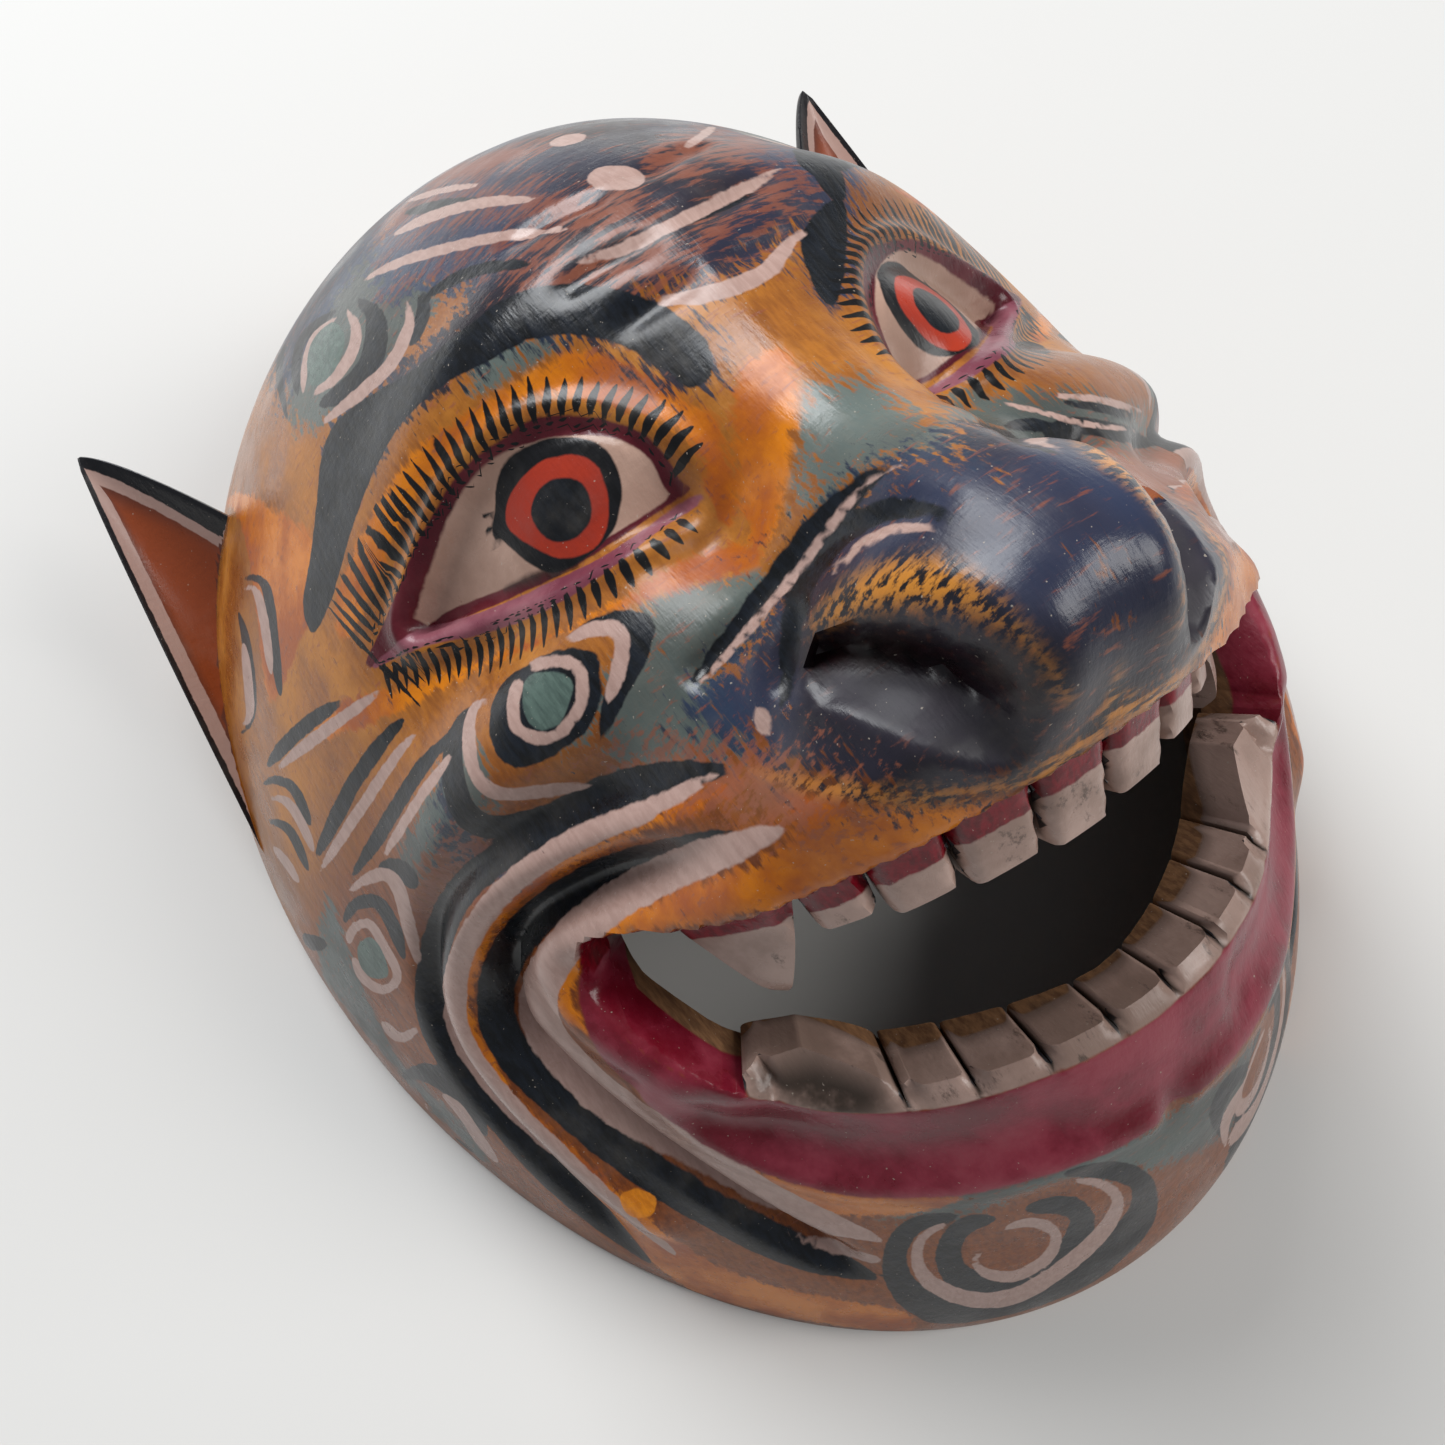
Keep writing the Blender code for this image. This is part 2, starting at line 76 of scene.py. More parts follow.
# The mask. One block of wood: a dome with the snout, lips, teeth, smile folds, eyes and both ears
# cut from it by knife and gouge, hollowed from behind and open at the mouth. Oil paint is brushed
# on the amber wood and varnished. These are its driving dimensions, in metres.
HEAD_LENGTH = 0.240
HEAD_WIDTH = 0.179
HEAD_HEIGHT = 0.114
WALL = 0.008
EAR_LENGTH = 0.051
EAR_WIDTH = 0.057
EAR_DISH = 0.011
EAR_WALL = 0.005

# How round the dome is: 2 is an ellipse, less leans the sides in
PLAN_ROUNDNESS = 1.75
CROWN_SIDE = 1.30
JAW_SIDE = 1.40

# The carving's heights below are those of a head of this length; they keep their share of it
CARVED_LENGTH = 0.240
CARVING = HEAD_LENGTH / CARVED_LENGTH

# How finely the head and its hollow are carved
HEAD_FINENESS = 8
HOLLOW_FINENESS = 6

# The hollow keeps a wall's thickness from the lowest carving within these angles of each place
HOLLOW_REACH = (3.0, 6.0)
HOLLOW_SMOOTHINGS = 3
HOLLOW_TURN = 45
HOLLOW_EASING = 0.5

# The block is left this much deeper than the rim, and then cut flat
BACK_SPARE = 0.004

# The mouth's cutter starts at this share of the head's height and widens this many times
MOUTH_CUT_START = 0.25
MOUTH_CUT_REACH = 7.0

# Places on the face are two angles in degrees, seen from the middle of the back rim: across
# the face, and along it from chin (negative) to crown. (0, 0) is straight out of the face and
# 90 degrees away is the rim. Both halves are carved alike, so across is given for one of them.
EYE = [(9.2, -10.4), (9.6, -6.4), (11.8, -2.4), (15.9, 0.5), (20.8, 1.6), (26.8, 1.0), (32.2, -0.9),
       (25.5, -4.5), (18.9, -7.9), (13.0, -10.0)]
PUPIL = (16.4, -4.4)
RIGHT_EYE_SHIFT = (2.2, 1.6)
UPPER_LIP = [(0.0, -33.0), (6.5, -33.0), (12.0, -33.2), (18.0, -33.0), (25.0, -32.2), (30.0, -30.8)]
LIP_CORNER = [(34.4, -30.2), (36.6, -33.2)]
LOWER_LIP = [(36.2, -37.4), (31.0, -45.4), (25.0, -51.0), (18.0, -53.2), (10.0, -53.8), (0.0, -54.2)]
JAW_EDGE = [(39.0, -42.0), (36.0, -51.5), (29.0, -58.6), (21.0, -61.4), (12.0, -62.2), (0.0, -63.0)]
OPENING_CORNER = [(34.4, -31.6), (35.8, -33.8), (35.4, -37.4)]
INNER_FOLD = [(17.0, -29.4), (23.0, -28.2), (30.0, -27.0), (38.0, -26.4), (45.0, -28.2), (48.6, -33.0),
              (47.4, -39.8), (43.4, -50.4), (37.0, -63.0), (29.4, -73.6)]
OUTER_FOLD = [(15.0, -25.4), (24.8, -21.9), (35.0, -19.8), (44.2, -19.6), (53.6, -21.6), (60.6, -27.0),
              (63.4, -36.0), (60.4, -50.6), (56.4, -66.0)]
NOSTRIL_RIM = [(10.2, -23.0), (8.8, -22.1), (7.4, -22.9), (6.0, -24.2), (5.0, -25.7), (4.3, -27.5),
               (4.3, -29.2)]
NOSTRIL_SILL = [(4.8, -31.0), (6.3, -30.7), (7.9, -29.4), (9.4, -27.2), (10.6, -24.6)]
WING_CREASE = [(2.6, -20.9), (3.6, -19.5), (6.1, -19.0), (9.2, -20.8), (12.4, -24.5)]
BRIDGE_CREASE = [(2.0, -17.5), (5.7, -17.8), (8.4, -18.5), (11.9, -19.3), (16.3, -20.2)]
FOREHEAD_CREASES = [[(0.0, 4.2), (9.6, 6.0)], [(0.0, 0.2), (7.8, 1.2)], [(0.0, 10.0), (9.0, 13.6)]]

# Teeth of one half of each row, from the middle out: where each ends across, and its length.
# The last of each row is the fang, with its own taper; the rest are square with round corners.
UPPER_TEETH = [(2.6, 6.2), (8.0, 5.6), (13.0, 4.8), (17.6, 4.0), (27.6, 9.6)]
LOWER_TEETH = [(2.6, 1.0), (8.0, 1.0), (13.4, 1.0), (18.6, 1.2), (29.6, 4.4)]
UPPER_FANG_TAPER = 0.8
LOWER_FANG_TAPER = 0.45
UPPER_GUM = 0.6
LOWER_GUM = 0.3
TOOTH_SQUARENESS = 14.0

# How far across the opening is drawn, and at how many places
OPENING_SAMPLES = (31.0, 156)

# Swellings and hollows: the middle, the spread across and along, how square, and the height
SWELLINGS = {
    'muzzle': ((0.0, -38.0), (37.0, 22.0), 3.4, 0.0055),
    'chin': ((0.0, -60.0), (22.0, 15.0), 3.0, 0.0065),
    'brow': ((16.0, 7.0), (13.0, 6.0), 2.0, 0.0030),
    'cheek': ((25.0, -15.5), (12.0, 6.0), 2.6, 0.0050),
    'side of the cheek': ((40.0, -17.0), (10.0, 7.0), 2.2, 0.0040),
    'upper lip': ((18.0, -28.6), (8.0, 4.0), 2.2, 0.0045),
    'beside the wing': ((16.5, -24.0), (7.0, 5.0), 2.2, 0.0045),
    'eye socket': ((21.0, -5.0), (13.5, 8.0), 2.6, -0.0055),
    'corner beside the nose': ((8.8, -12.6), (3.6, 4.6), 2.0, -0.0060),
}

# The snout: its height along the middle of the face, and half its breadth, by place along
SNOUT = [(0.0000, 40.0), (0.0010, 20.0), (0.0005, 8.0), (0.0, 1.0), (0.0015, -5.0), (0.0075, -12.5),
         (0.0150, -16.5), (0.0245, -20.0), (0.0310, -23.5), (0.0325, -26.0), (0.0300, -28.5),
         (0.0235, -31.0), (0.0185, -34.0), (0.0115, -40.0), (0.0040, -47.0), (0.0, -52.0)]
SNOUT_BREADTH = [(24.0, -40.0), (21.0, -34.0), (16.5, -31.0), (12.5, -28.0), (10.4, -25.0), (9.6, -22.0),
                 (8.4, -18.0), (6.8, -12.0), (6.2, -6.0), (9.0, 2.0)]
SNOUT_SQUARENESS = 2.3

# The eye: a ball in a sunk almond, with a raised rim of lid round it
EYEBALL_SPREAD = (10.5, 6.4)
EYEBALL_RISE = 0.0062
EYE_SINK = 0.0032
EYE_EDGE = (-0.3, 0.6)
LID = (-1.3, 1.1, 0.0018)

# The nostril: a scoop, deepest right under the wing's edge, with the wing raised round it
NOSTRIL_EDGE = (-0.2, 0.7)
NOSTRIL_DEPTH = 0.0105
NOSTRIL_SLOPE = 4.2
WING = (1.6, 1.3, 0.0016)

# Inside the lips: how far the upper teeth lie back, and how the lower ones lean in by the degree
LIP_EDGE = (-0.1, 0.8)
UPPER_TEETH_BACK = 0.0075
LOWER_TEETH_LEAN = 0.0012
LOWER_TEETH_DEEPEST = 9.0
ROW_BLEND = 6.0
TOOTH_GAP = (0.42, 0.0016)
TOOTH_ROOT = 0.8

# The right ear: where it leaves the face, how deep its root is sunk in the dome, the way to its
# tip and the way along its root; the left ear is its mirror image. A share of its length is buried.
EAR_PLACE = (65.3, 34.4)
EAR_SINK = 0.0043
EAR_AIM = (0.005, 0.0485, 0.016)
EAR_SPREAD = (0.026, -0.043, -0.026)
EAR_BURIED = 0.10
EAR_TAPER = 0.85
EAR_TIP_WALL = 0.35
EAR_RIM_ROUNDNESS = 0.4
EAR_SEGMENTS = (72, 40)

# Smooth lines are drawn with this many steps to a span, and the dome's radius is found in this
# many; lengths below the last are taken as nothing
CURVE_STEPS = 8
RADIUS_STEPS = 12
TINY = 1e-6


def between(one, other):
    """The places half way from one line to another."""
    return [((a + c) / 2.0, (b + d) / 2.0) for (a, b), (c, d) in zip(one, other)]


def moved(line, across, along):
    """The line, moved by two angles."""
    return [(a + across, b + along) for a, b in line]


# Furrows and ridges: the line, half its width, its height, and the share that fades at each end
FURROWS = {
    'inner smile fold': (INNER_FOLD, 1.7, -0.0050, 0.12),
    'outer smile fold': (OUTER_FOLD, 2.0, -0.0030, 0.12),
    'ridge between the folds': (between(INNER_FOLD, OUTER_FOLD), 3.0, 0.0032, 0.12),
    'lip round the corner': (moved(UPPER_LIP[2:] + LIP_CORNER + LOWER_LIP[:3], 3.0, 1.0), 3.0, 0.0028, 0.12),
    'crease round the wing': (WING_CREASE, 0.9, -0.0030, 0.12),
    'crease beside the bridge': (BRIDGE_CREASE, 0.9, -0.0022, 0.12),
    'edge of the jaw': (JAW_EDGE, 2.0, 0.0016, 0.05),
    'dish of the lower lip': (between(JAW_EDGE, LOWER_LIP[1:]), 3.0, -0.0016, 0.12),
    'first forehead crease': (FOREHEAD_CREASES[0], 1.0, -0.0012, 0.30),
    'second forehead crease': (FOREHEAD_CREASES[1], 1.0, -0.0012, 0.30),
    'third forehead crease': (FOREHEAD_CREASES[2], 1.0, -0.0012, 0.30),
}


def curve(points, closed=False):
    """A smooth line through the points, as a dense list of places."""
    knots = np.array(points, float)
    if closed:
        knots = np.vstack([knots[-1:], knots, knots[:2]])
    else:
        knots = np.vstack([2 * knots[:1] - knots[1:2], knots, 2 * knots[-1:] - knots[-2:-1]])
    share = np.linspace(0.0, 1.0, CURVE_STEPS, endpoint=False)[:, None]
    spans = []
    for a, b, c, d in zip(knots[:-3], knots[1:-2], knots[2:-1], knots[3:]):
        spans.append(0.5 * (2 * b + (c - a) * share + (2 * a - 5 * b + 4 * c - d) * share ** 2
                            + (3 * b - a - 3 * c + d) * share ** 3))
    if not closed:
        spans.append(knots[-2:-1])
    return np.vstack(spans)


def to_line(places, line):
    """Distance from each place to a line, and the share of the line's length there."""
    lengths = np.linalg.norm(np.diff(line, axis=0), axis=1)
    run = np.concatenate([[0.0], np.cumsum(lengths)])
    best = np.full(len(places), np.inf)
    share = np.zeros(len(places))
    for start, end, length, before in zip(line[:-1], line[1:], lengths, run):
        step = (end - start) / length
        away = places - start
        foot = np.clip(away @ step, 0.0, length)
        gap = np.linalg.norm(away - foot[:, None] * step, axis=1)
        nearer = gap < best
        best[nearer] = gap[nearer]
        share[nearer] = (before + foot[nearer]) / run[-1]
    return best, share


def into(places, outline):
    """Distance to a closed outline, positive inside it and negative outside."""
    ring = np.vstack([outline, outline[:1]])
    ring = ring[np.append(True, np.linalg.norm(np.diff(ring, axis=0), axis=1) > TINY)]
    gap, _ = to_line(places, ring)
    x, y = places[:, 0], places[:, 1]
    crossings = np.zeros(len(places), int)
    for (ax, ay), (bx, by) in zip(ring[:-1], ring[1:]):
        if ay == by:
            continue
        straddles = (ay > y) != (by > y)
        crossings += straddles & (x < ax + (y - ay) * (bx - ax) / (by - ay))
    return np.where(crossings % 2 == 1, gap, -gap)


def ease(value, edge=(0.0, 1.0)):
    """A smooth step, 0 below the edge's first value and 1 above its second."""
    held = np.clip((value - edge[0]) / (edge[1] - edge[0]), 0.0, 1.0)
    return held * held * (3.0 - 2.0 * held)


def mound(places, centre, spread, squareness=2.0):
    """A round swelling, 1 at its centre, that dies away beyond its spread."""
    away = (places - np.array(centre)) / np.array(spread)
    return np.exp(-np.sum(away ** 2, axis=1) ** (squareness / 2.0))


def band(distance, middle, half_width):
    """A rounded band, 1 where the distance is at its middle."""
    return np.exp(-((distance - middle) / half_width) ** 2)


def groove(places, points, half_width, fade):
    """A rounded furrow along a line, 1 at its middle, that runs out at both ends."""
    gap, share = to_line(places, curve(points))
    return band(gap, 0.0, half_width) * ease(share / fade) * ease((1.0 - share) / fade)


def read_along(along, points):
    """The first value of a smooth line's points at each place along the face."""
    line = curve(points)
    line = line[np.argsort(line[:, 1])]
    return np.interp(along, line[:, 1], line[:, 0])


def upper_row(across):
    """Where the upper lip meets its teeth, along the face, at each place across it."""
    line = curve(UPPER_LIP + LIP_CORNER[:1])
    return np.interp(across, line[:, 0], line[:, 1])


def lower_row(across):
    """Where the lower lip meets its teeth, along the face, at each place across it."""
    line = curve(LOWER_LIP)[::-1]
    return np.interp(across, line[:, 0], line[:, 1])


def tooth_length(across, teeth, fang_taper):
    """How far the teeth of a row stand out of the gum, with a notch at each gap."""
    length = np.zeros(len(across))
    start = -teeth[0][0]
    for end, reach in teeth:
        middle = (start + end) / 2.0
        near = np.clip(np.abs(across - middle) / (end - middle), 0.0, 1.0)
        fang = end == teeth[-1][0]
        shape = (1.0 - near) ** fang_taper if fang else (1.0 - near ** TOOTH_SQUARENESS) ** 0.5
        length = np.maximum(length, reach * shape)
        start = end
    return length


def mouth_outline():
    """The edge of the opening of one half: upper teeth, corner, and lower teeth."""
    across = np.unique(np.concatenate([np.linspace(0.0, *OPENING_SAMPLES),
                                       [end for end, _ in UPPER_TEETH + LOWER_TEETH]]))
    top = upper_row(across) - UPPER_GUM - tooth_length(across, UPPER_TEETH, UPPER_FANG_TAPER)
    bottom = lower_row(across) + LOWER_GUM + tooth_length(across, LOWER_TEETH, LOWER_FANG_TAPER)
    upper = np.column_stack([across, top])
    lower = np.column_stack([across, bottom])[::-1]
    return np.vstack([upper, OPENING_CORNER, lower])


def snout(across, along):
    """Height of the bridge and the round nose."""
    breadth = np.interp(along, [place for _, place in SNOUT_BREADTH], [half for half, _ in SNOUT_BREADTH])
    return read_along(along, SNOUT) * np.exp(-(across / breadth) ** SNOUT_SQUARENESS)


def eye(places, right):
    """Height of the eyeball in its almond, and of the lid's rim round it."""
    seen = places + right[:, None] * np.array(RIGHT_EYE_SHIFT)
    almond = into(seen, curve(EYE, closed=True))
    eyeball = EYEBALL_RISE * mound(seen, PUPIL, EYEBALL_SPREAD) - EYE_SINK
    middle, half_width, lid_rise = LID
    return ease(almond, EYE_EDGE) * eyeball + lid_rise * band(almond, middle, half_width)


def nostril(places):
    """Height of the nostril: it deepens from its sill to the edge of the wing over it."""
    rim = curve(NOSTRIL_RIM)
    sill = curve(NOSTRIL_SILL)
    inside = into(places, np.vstack([rim, sill]))
    from_rim, _ = to_line(places, rim)
    from_sill, _ = to_line(places, sill)
    depth = NOSTRIL_DEPTH * ease(inside, NOSTRIL_EDGE) * np.clip(from_sill / NOSTRIL_SLOPE, 0.0, 1.0)
    middle, half_width, wing_rise = WING
    return wing_rise * band(from_rim, middle, half_width) * (inside < 0.0) - depth


def teeth(places):
    """Height of both rows of teeth, behind the lips that they stand in."""
    across, along = places.T
    inside = curve(UPPER_LIP + LIP_CORNER + LOWER_LIP)
    within = ease(into(places, np.vstack([inside, -inside[::-1] * (1, -1)])), LIP_EDGE)
    from_top = upper_row(across) - along
    from_bottom = along - lower_row(across)
    upper_share = ease((from_bottom - from_top) / ROW_BLEND + 0.5)
    height = -UPPER_TEETH_BACK * within * upper_share
    lean = LOWER_TEETH_LEAN * np.clip(from_bottom, 0.0, LOWER_TEETH_DEEPEST)
    height -= lean * within * (1.0 - upper_share)
    half_width, depth = TOOTH_GAP
    for row, sizes in ((from_top, UPPER_TEETH), (from_bottom, LOWER_TEETH)):
        for end, _ in sizes:
            height -= depth * band(across, end, half_width) * within * ease(row / TOOTH_ROOT)
    return height


def rise(both, with_teeth=True):
    """How far the carving stands over the plain dome, in metres, at each place."""
    places = np.column_stack([np.abs(both[:, 0]), both[:, 1]])
    height = snout(*places.T) + eye(places, both[:, 0] > 0.0) + nostril(places)
    for centre, spread, squareness, tall in SWELLINGS.values():
        height += tall * mound(places, centre, spread, squareness)
    for line, half_width, tall, fade in FURROWS.values():
        height += tall * groove(places, line, half_width, fade)
    if with_teeth:
        height += teeth(places)
    return height * CARVING


def dome_radius(direction):
    """Distance from the middle of the back rim to the plain dome, along each direction."""
    x, y, z = direction.T
    flat = np.hypot(x, y)
    turn = np.arctan2(y, x)
    rim = 1.0 / np.hypot(np.cos(turn) / (HEAD_WIDTH / 2.0), np.sin(turn) / (HEAD_LENGTH / 2.0))
    towards_chin = 0.5 - 0.5 * np.sin(turn)
    side = CROWN_SIDE + (JAW_SIDE - CROWN_SIDE) * towards_chin
    up = np.abs(z)
    radius = rim.copy()
    for _ in range(RADIUS_STEPS):
        outward = (radius * flat / rim) ** PLAN_ROUNDNESS
        upward = (radius * up / HEAD_HEIGHT) ** side
        slope = (PLAN_ROUNDNESS * outward + side * upward) / radius
        radius -= (outward + upward - 1.0) / slope
    return radius


def to_places(direction):
    """The two angles of each direction, seen from the middle of the back rim."""
    tilt = np.degrees(np.arccos(np.clip(direction[:, 2], -1.0, 1.0)))
    turn = np.arctan2(direction[:, 1], direction[:, 0])
    return np.column_stack([tilt * np.cos(turn), tilt * np.sin(turn)])


def to_directions(places):
    """The direction of each place given by its two angles."""
    tilt = np.radians(np.hypot(places[:, 0], places[:, 1]))
    turn = np.arctan2(places[:, 1], places[:, 0])
    return np.column_stack([np.sin(tilt) * np.cos(turn), np.sin(tilt) * np.sin(turn), np.cos(tilt)])


def face_radius(direction, with_teeth=True):
    """Distance from the middle of the back rim to the carved face, along each direction."""
    return dome_radius(direction) + rise(to_places(direction), with_teeth)


def round_ball(fineness):
    """A round mesh of unit radius, and its corners' places as an array."""
    mesh = bmesh.new()
    bmesh.ops.create_icosphere(mesh, subdivisions=fineness, radius=1.0)
    corners = np.array([corner.co for corner in mesh.verts])
    return mesh, corners / np.linalg.norm(corners, axis=1)[:, None]


def move_corners(mesh, places):
    """Move the mesh's corners to their new places."""
    for corner, place in zip(mesh.verts, places):
        corner.co = place


def solid(name, mesh, material=None):
    """Put a finished mesh into the scene as an object; one with no material is a cutter."""
    bmesh.ops.recalc_face_normals(mesh, faces=mesh.faces)
    data = bpy.data.meshes.new(name)
    mesh.to_mesh(data)
    mesh.free()
    made = bpy.data.objects.new(name, data)
    bpy.context.scene.collection.objects.link(made)
    if material:
        data.materials.append(material)
    else:
        made.hide_render = True
        made.display_type = 'WIRE'
    return made


def head():
    """The outside of the head: a ball pulled out to the carved face, cut a little below the rim."""
    mesh, direction = round_ball(HEAD_FINENESS)
    move_corners(mesh, direction * face_radius(direction)[:, None])
    cut = bmesh.ops.bisect_plane(mesh, geom=mesh.verts[:] + mesh.edges[:] + mesh.faces[:],
                                 plane_co=(0.0, 0.0, -BACK_SPARE), plane_no=(0.0, 0.0, -1.0),
                                 clear_outer=True)
    edges = [item for item in cut['geom_cut'] if isinstance(item, bmesh.types.BMEdge)]
    bmesh.ops.holes_fill(mesh, edges=edges)
    return mesh


def hollow():
    """The space behind the face: it follows the outside, a wall's thickness in from its lows."""
    mesh, direction = round_ball(HOLLOW_FINENESS)
    upward = direction * (1.0, 1.0, 0.0) + np.abs(direction) * (0.0, 0.0, 1.0)
    lowest = face_radius(upward, with_teeth=False)
    aside = np.cross(upward, (0.0, 1.0, 0.0))
    aside /= np.maximum(np.linalg.norm(aside, axis=1), TINY)[:, None]
    other = np.cross(upward, aside)
    for reach in np.radians(HOLLOW_REACH):
        for turn in np.radians(np.arange(0, 360, HOLLOW_TURN)):
            near = upward + math.tan(reach) * (math.cos(turn) * aside + math.sin(turn) * other)
            near[:, 2] = np.abs(near[:, 2])
            near /= np.linalg.norm(near, axis=1)[:, None]
            lowest = np.minimum(lowest, face_radius(near, with_teeth=False))
    move_corners(mesh, direction * (lowest - WALL)[:, None])
    for _ in range(HOLLOW_SMOOTHINGS):
        bmesh.ops.smooth_vert(mesh, verts=mesh.verts, factor=HOLLOW_EASING, use_axis_x=True, use_axis_y=True,
                              use_axis_z=True)
    return mesh


def mouth():
    """The cutter of the mouth's opening, spreading out from the middle of the back rim."""
    half = mouth_outline()
    whole = np.vstack([half, (half * (-1, 1))[::-1][1:-1]])
    mesh = bmesh.new()
    bmesh.ops.create_circle(mesh, cap_ends=True, segments=len(whole), radius=1.0)
    move_corners(mesh, to_directions(whole) * HEAD_HEIGHT * MOUTH_CUT_START)
    outer = bmesh.ops.extrude_face_region(mesh, geom=mesh.faces[:])
    for item in outer['geom']:
        if isinstance(item, bmesh.types.BMVert):
            item.co *= MOUTH_CUT_REACH
    bmesh.ops.triangulate(mesh, faces=mesh.faces)
    return mesh


def unit(vector, side):
    """The vector at unit length, for the ear on the given side."""
    sided = np.array(vector) * (side, 1.0, 1.0)
    return sided / np.linalg.norm(sided)


def ear_axes(side):
    """The middle of an ear's root, and the ways to its tip, along its root and out of its front."""
    out_of_head = to_directions(np.array([EAR_PLACE])) * (side, 1.0, 1.0)
    root = out_of_head[0] * (dome_radius(out_of_head)[0] - EAR_SINK * CARVING)
    aim = unit(EAR_AIM, side)
    spread = unit(EAR_SPREAD, side)
    front = np.cross(spread, aim) * side
    return root, aim, spread, front / np.linalg.norm(front)


def ear(side):
    """One ear: a pointed dished leaf that leaves the side of the head towards the crown."""
    root, aim, spread, front = ear_axes(side)
    around, rows = EAR_SEGMENTS
    mesh = bmesh.new()
    bmesh.ops.create_uvsphere(mesh, u_segments=around, v_segments=rows, radius=1.0)
    for corner in mesh.verts:
        share = math.acos(max(-1.0, min(1.0, corner.co.z))) / math.pi
        out = (1.0 + EAR_BURIED) * (1.0 - share) - EAR_BURIED
        ring = max(math.hypot(corner.co.x, corner.co.y), TINY)
        across = corner.co.x / ring
        through = corner.co.y / ring
        narrowing = (1.0 - max(out, 0.0)) ** EAR_TAPER
        dish = -EAR_DISH * through ** 2 * narrowing
        wall = EAR_WALL / 2.0 * abs(through) ** EAR_RIM_ROUNDNESS
        wall *= EAR_TIP_WALL + (1.0 - EAR_TIP_WALL) * narrowing
        depth = dish + math.copysign(wall, through)
        beside = EAR_WIDTH / 2.0 * narrowing * across
        corner.co = root + aim * (EAR_LENGTH * out) + spread * beside + front * depth
    return mesh


def floor():
    """Everything below the flat of the back rim."""
    mesh = bmesh.new()
    bmesh.ops.create_cube(mesh, size=1.0)
    bmesh.ops.scale(mesh, vec=(2.0 * HEAD_LENGTH, 2.0 * HEAD_LENGTH, HEAD_LENGTH), verts=mesh.verts)
    bmesh.ops.translate(mesh, vec=(0.0, 0.0, -HEAD_LENGTH / 2.0), verts=mesh.verts)
    return mesh


SHARP_EDGE = 50.0
wood = bpy.data.materials.new('painted_wood')
wood.use_nodes = True

mask = solid('carved_mask', head(), wood)
steps = [('left_ear', 'UNION', ear(-1.0)), ('right_ear', 'UNION', ear(1.0)),
         ('flat_back', 'DIFFERENCE', floor()), ('hollow', 'DIFFERENCE', hollow()),
         ('mouth', 'DIFFERENCE', mouth())]
cutters = []
for name, operation, form in steps:
    change = mask.modifiers.new(name, 'BOOLEAN')
    change.operation = operation
    change.solver = 'MANIFOLD'
    change.object = solid(name + '_form', form)
    cutters.append(change.object)
finished = bpy.data.meshes.new_from_object(mask.evaluated_get(bpy.context.evaluated_depsgraph_get()))
mask.modifiers.clear()
mask.data = finished
finished.name = 'carved_mask'
finished.shade_smooth()
finished.set_sharp_from_angle(angle=math.radians(SHARP_EDGE))
for cutter in cutters:
    bpy.data.objects.remove(cutter)
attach(mask, 'root')
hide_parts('mask')

# The mask's paint: washes of blue-black and teal, then black and grey-pink strokes, crimson lips
# and lids, and the eyes. Each painted shape is an outline or a brush stroke in the photograph's
# pixels (x, y), laid on the carved face.
surface = BVHTree.FromObject(mask, bpy.context.evaluated_depsgraph_get())
corner_count = len(finished.vertices)
corner_places = np.empty(corner_count * 3)
finished.vertices.foreach_get('co', corner_places)
corner_places = corner_places.reshape(-1, 3)
corner_radius = np.linalg.norm(corner_places, axis=1)
corner_ways = corner_places / corner_radius[:, None]
on_face = to_places(corner_ways)
MM = 1000.0
under_face = (face_radius(corner_ways) - corner_radius) * MM


def on_the_face(pixels):
    """Where the camera's lines through these places in the photograph meet the face."""
    found = []
    for across, down in pixels:
        ray = Vector((across - FRAME_PIXELS / 2.0, FRAME_PIXELS / 2.0 - down, -CAMERA_FOCUS))
        hit = surface.ray_cast(Vector(CAMERA_PLACE), (camera_turn @ ray).normalized())[0]
        if hit:
            found.append(hit.normalized())
    return to_places(np.array(found).reshape(-1, 3))


# The strokes' edges are worn back a little, so they are laid this much wider; none is thinner than
# twice the last, in pixels
FULL_BRUSH = 1.15
THINNEST_HALF = 0.5


def brushed(points, width, ends=(0.25, 0.25)):
    """The outline of a brush stroke along the points, drawn to a point at both ends."""
    line = curve(points)
    width *= FULL_BRUSH
    way = np.gradient(line, axis=0)
    side = np.column_stack([-way[:, 1], way[:, 0]]) / np.linalg.norm(way, axis=1)[:, None]
    run = np.append(0.0, np.cumsum(np.linalg.norm(np.diff(line, axis=0), axis=1)))
    share = run / run[-1]
    half = width / 2.0 * np.minimum(1.0, share / ends[0]) ** 0.5
    half *= np.minimum(1.0, (1.0 - share) / ends[1]) ** 0.5
    half = np.maximum(half, THINNEST_HALF)[:, None]
    return np.vstack([line + side * half, (line - side * half)[::-1]])


def depth_into(places, outlines, reach=2.5):
    """How deep each place lies in the nearest of the outlines, in degrees, from -reach up."""
    deepest = np.full(len(places), -reach)
    for outline in outlines:
        low, high = outline.min(axis=0) - reach, outline.max(axis=0) + reach
        near = np.flatnonzero(np.all((places > low) & (places < high), axis=1))
        if len(near):
            deepest[near] = np.maximum(deepest[near], into(places[near], outline))
    return deepest


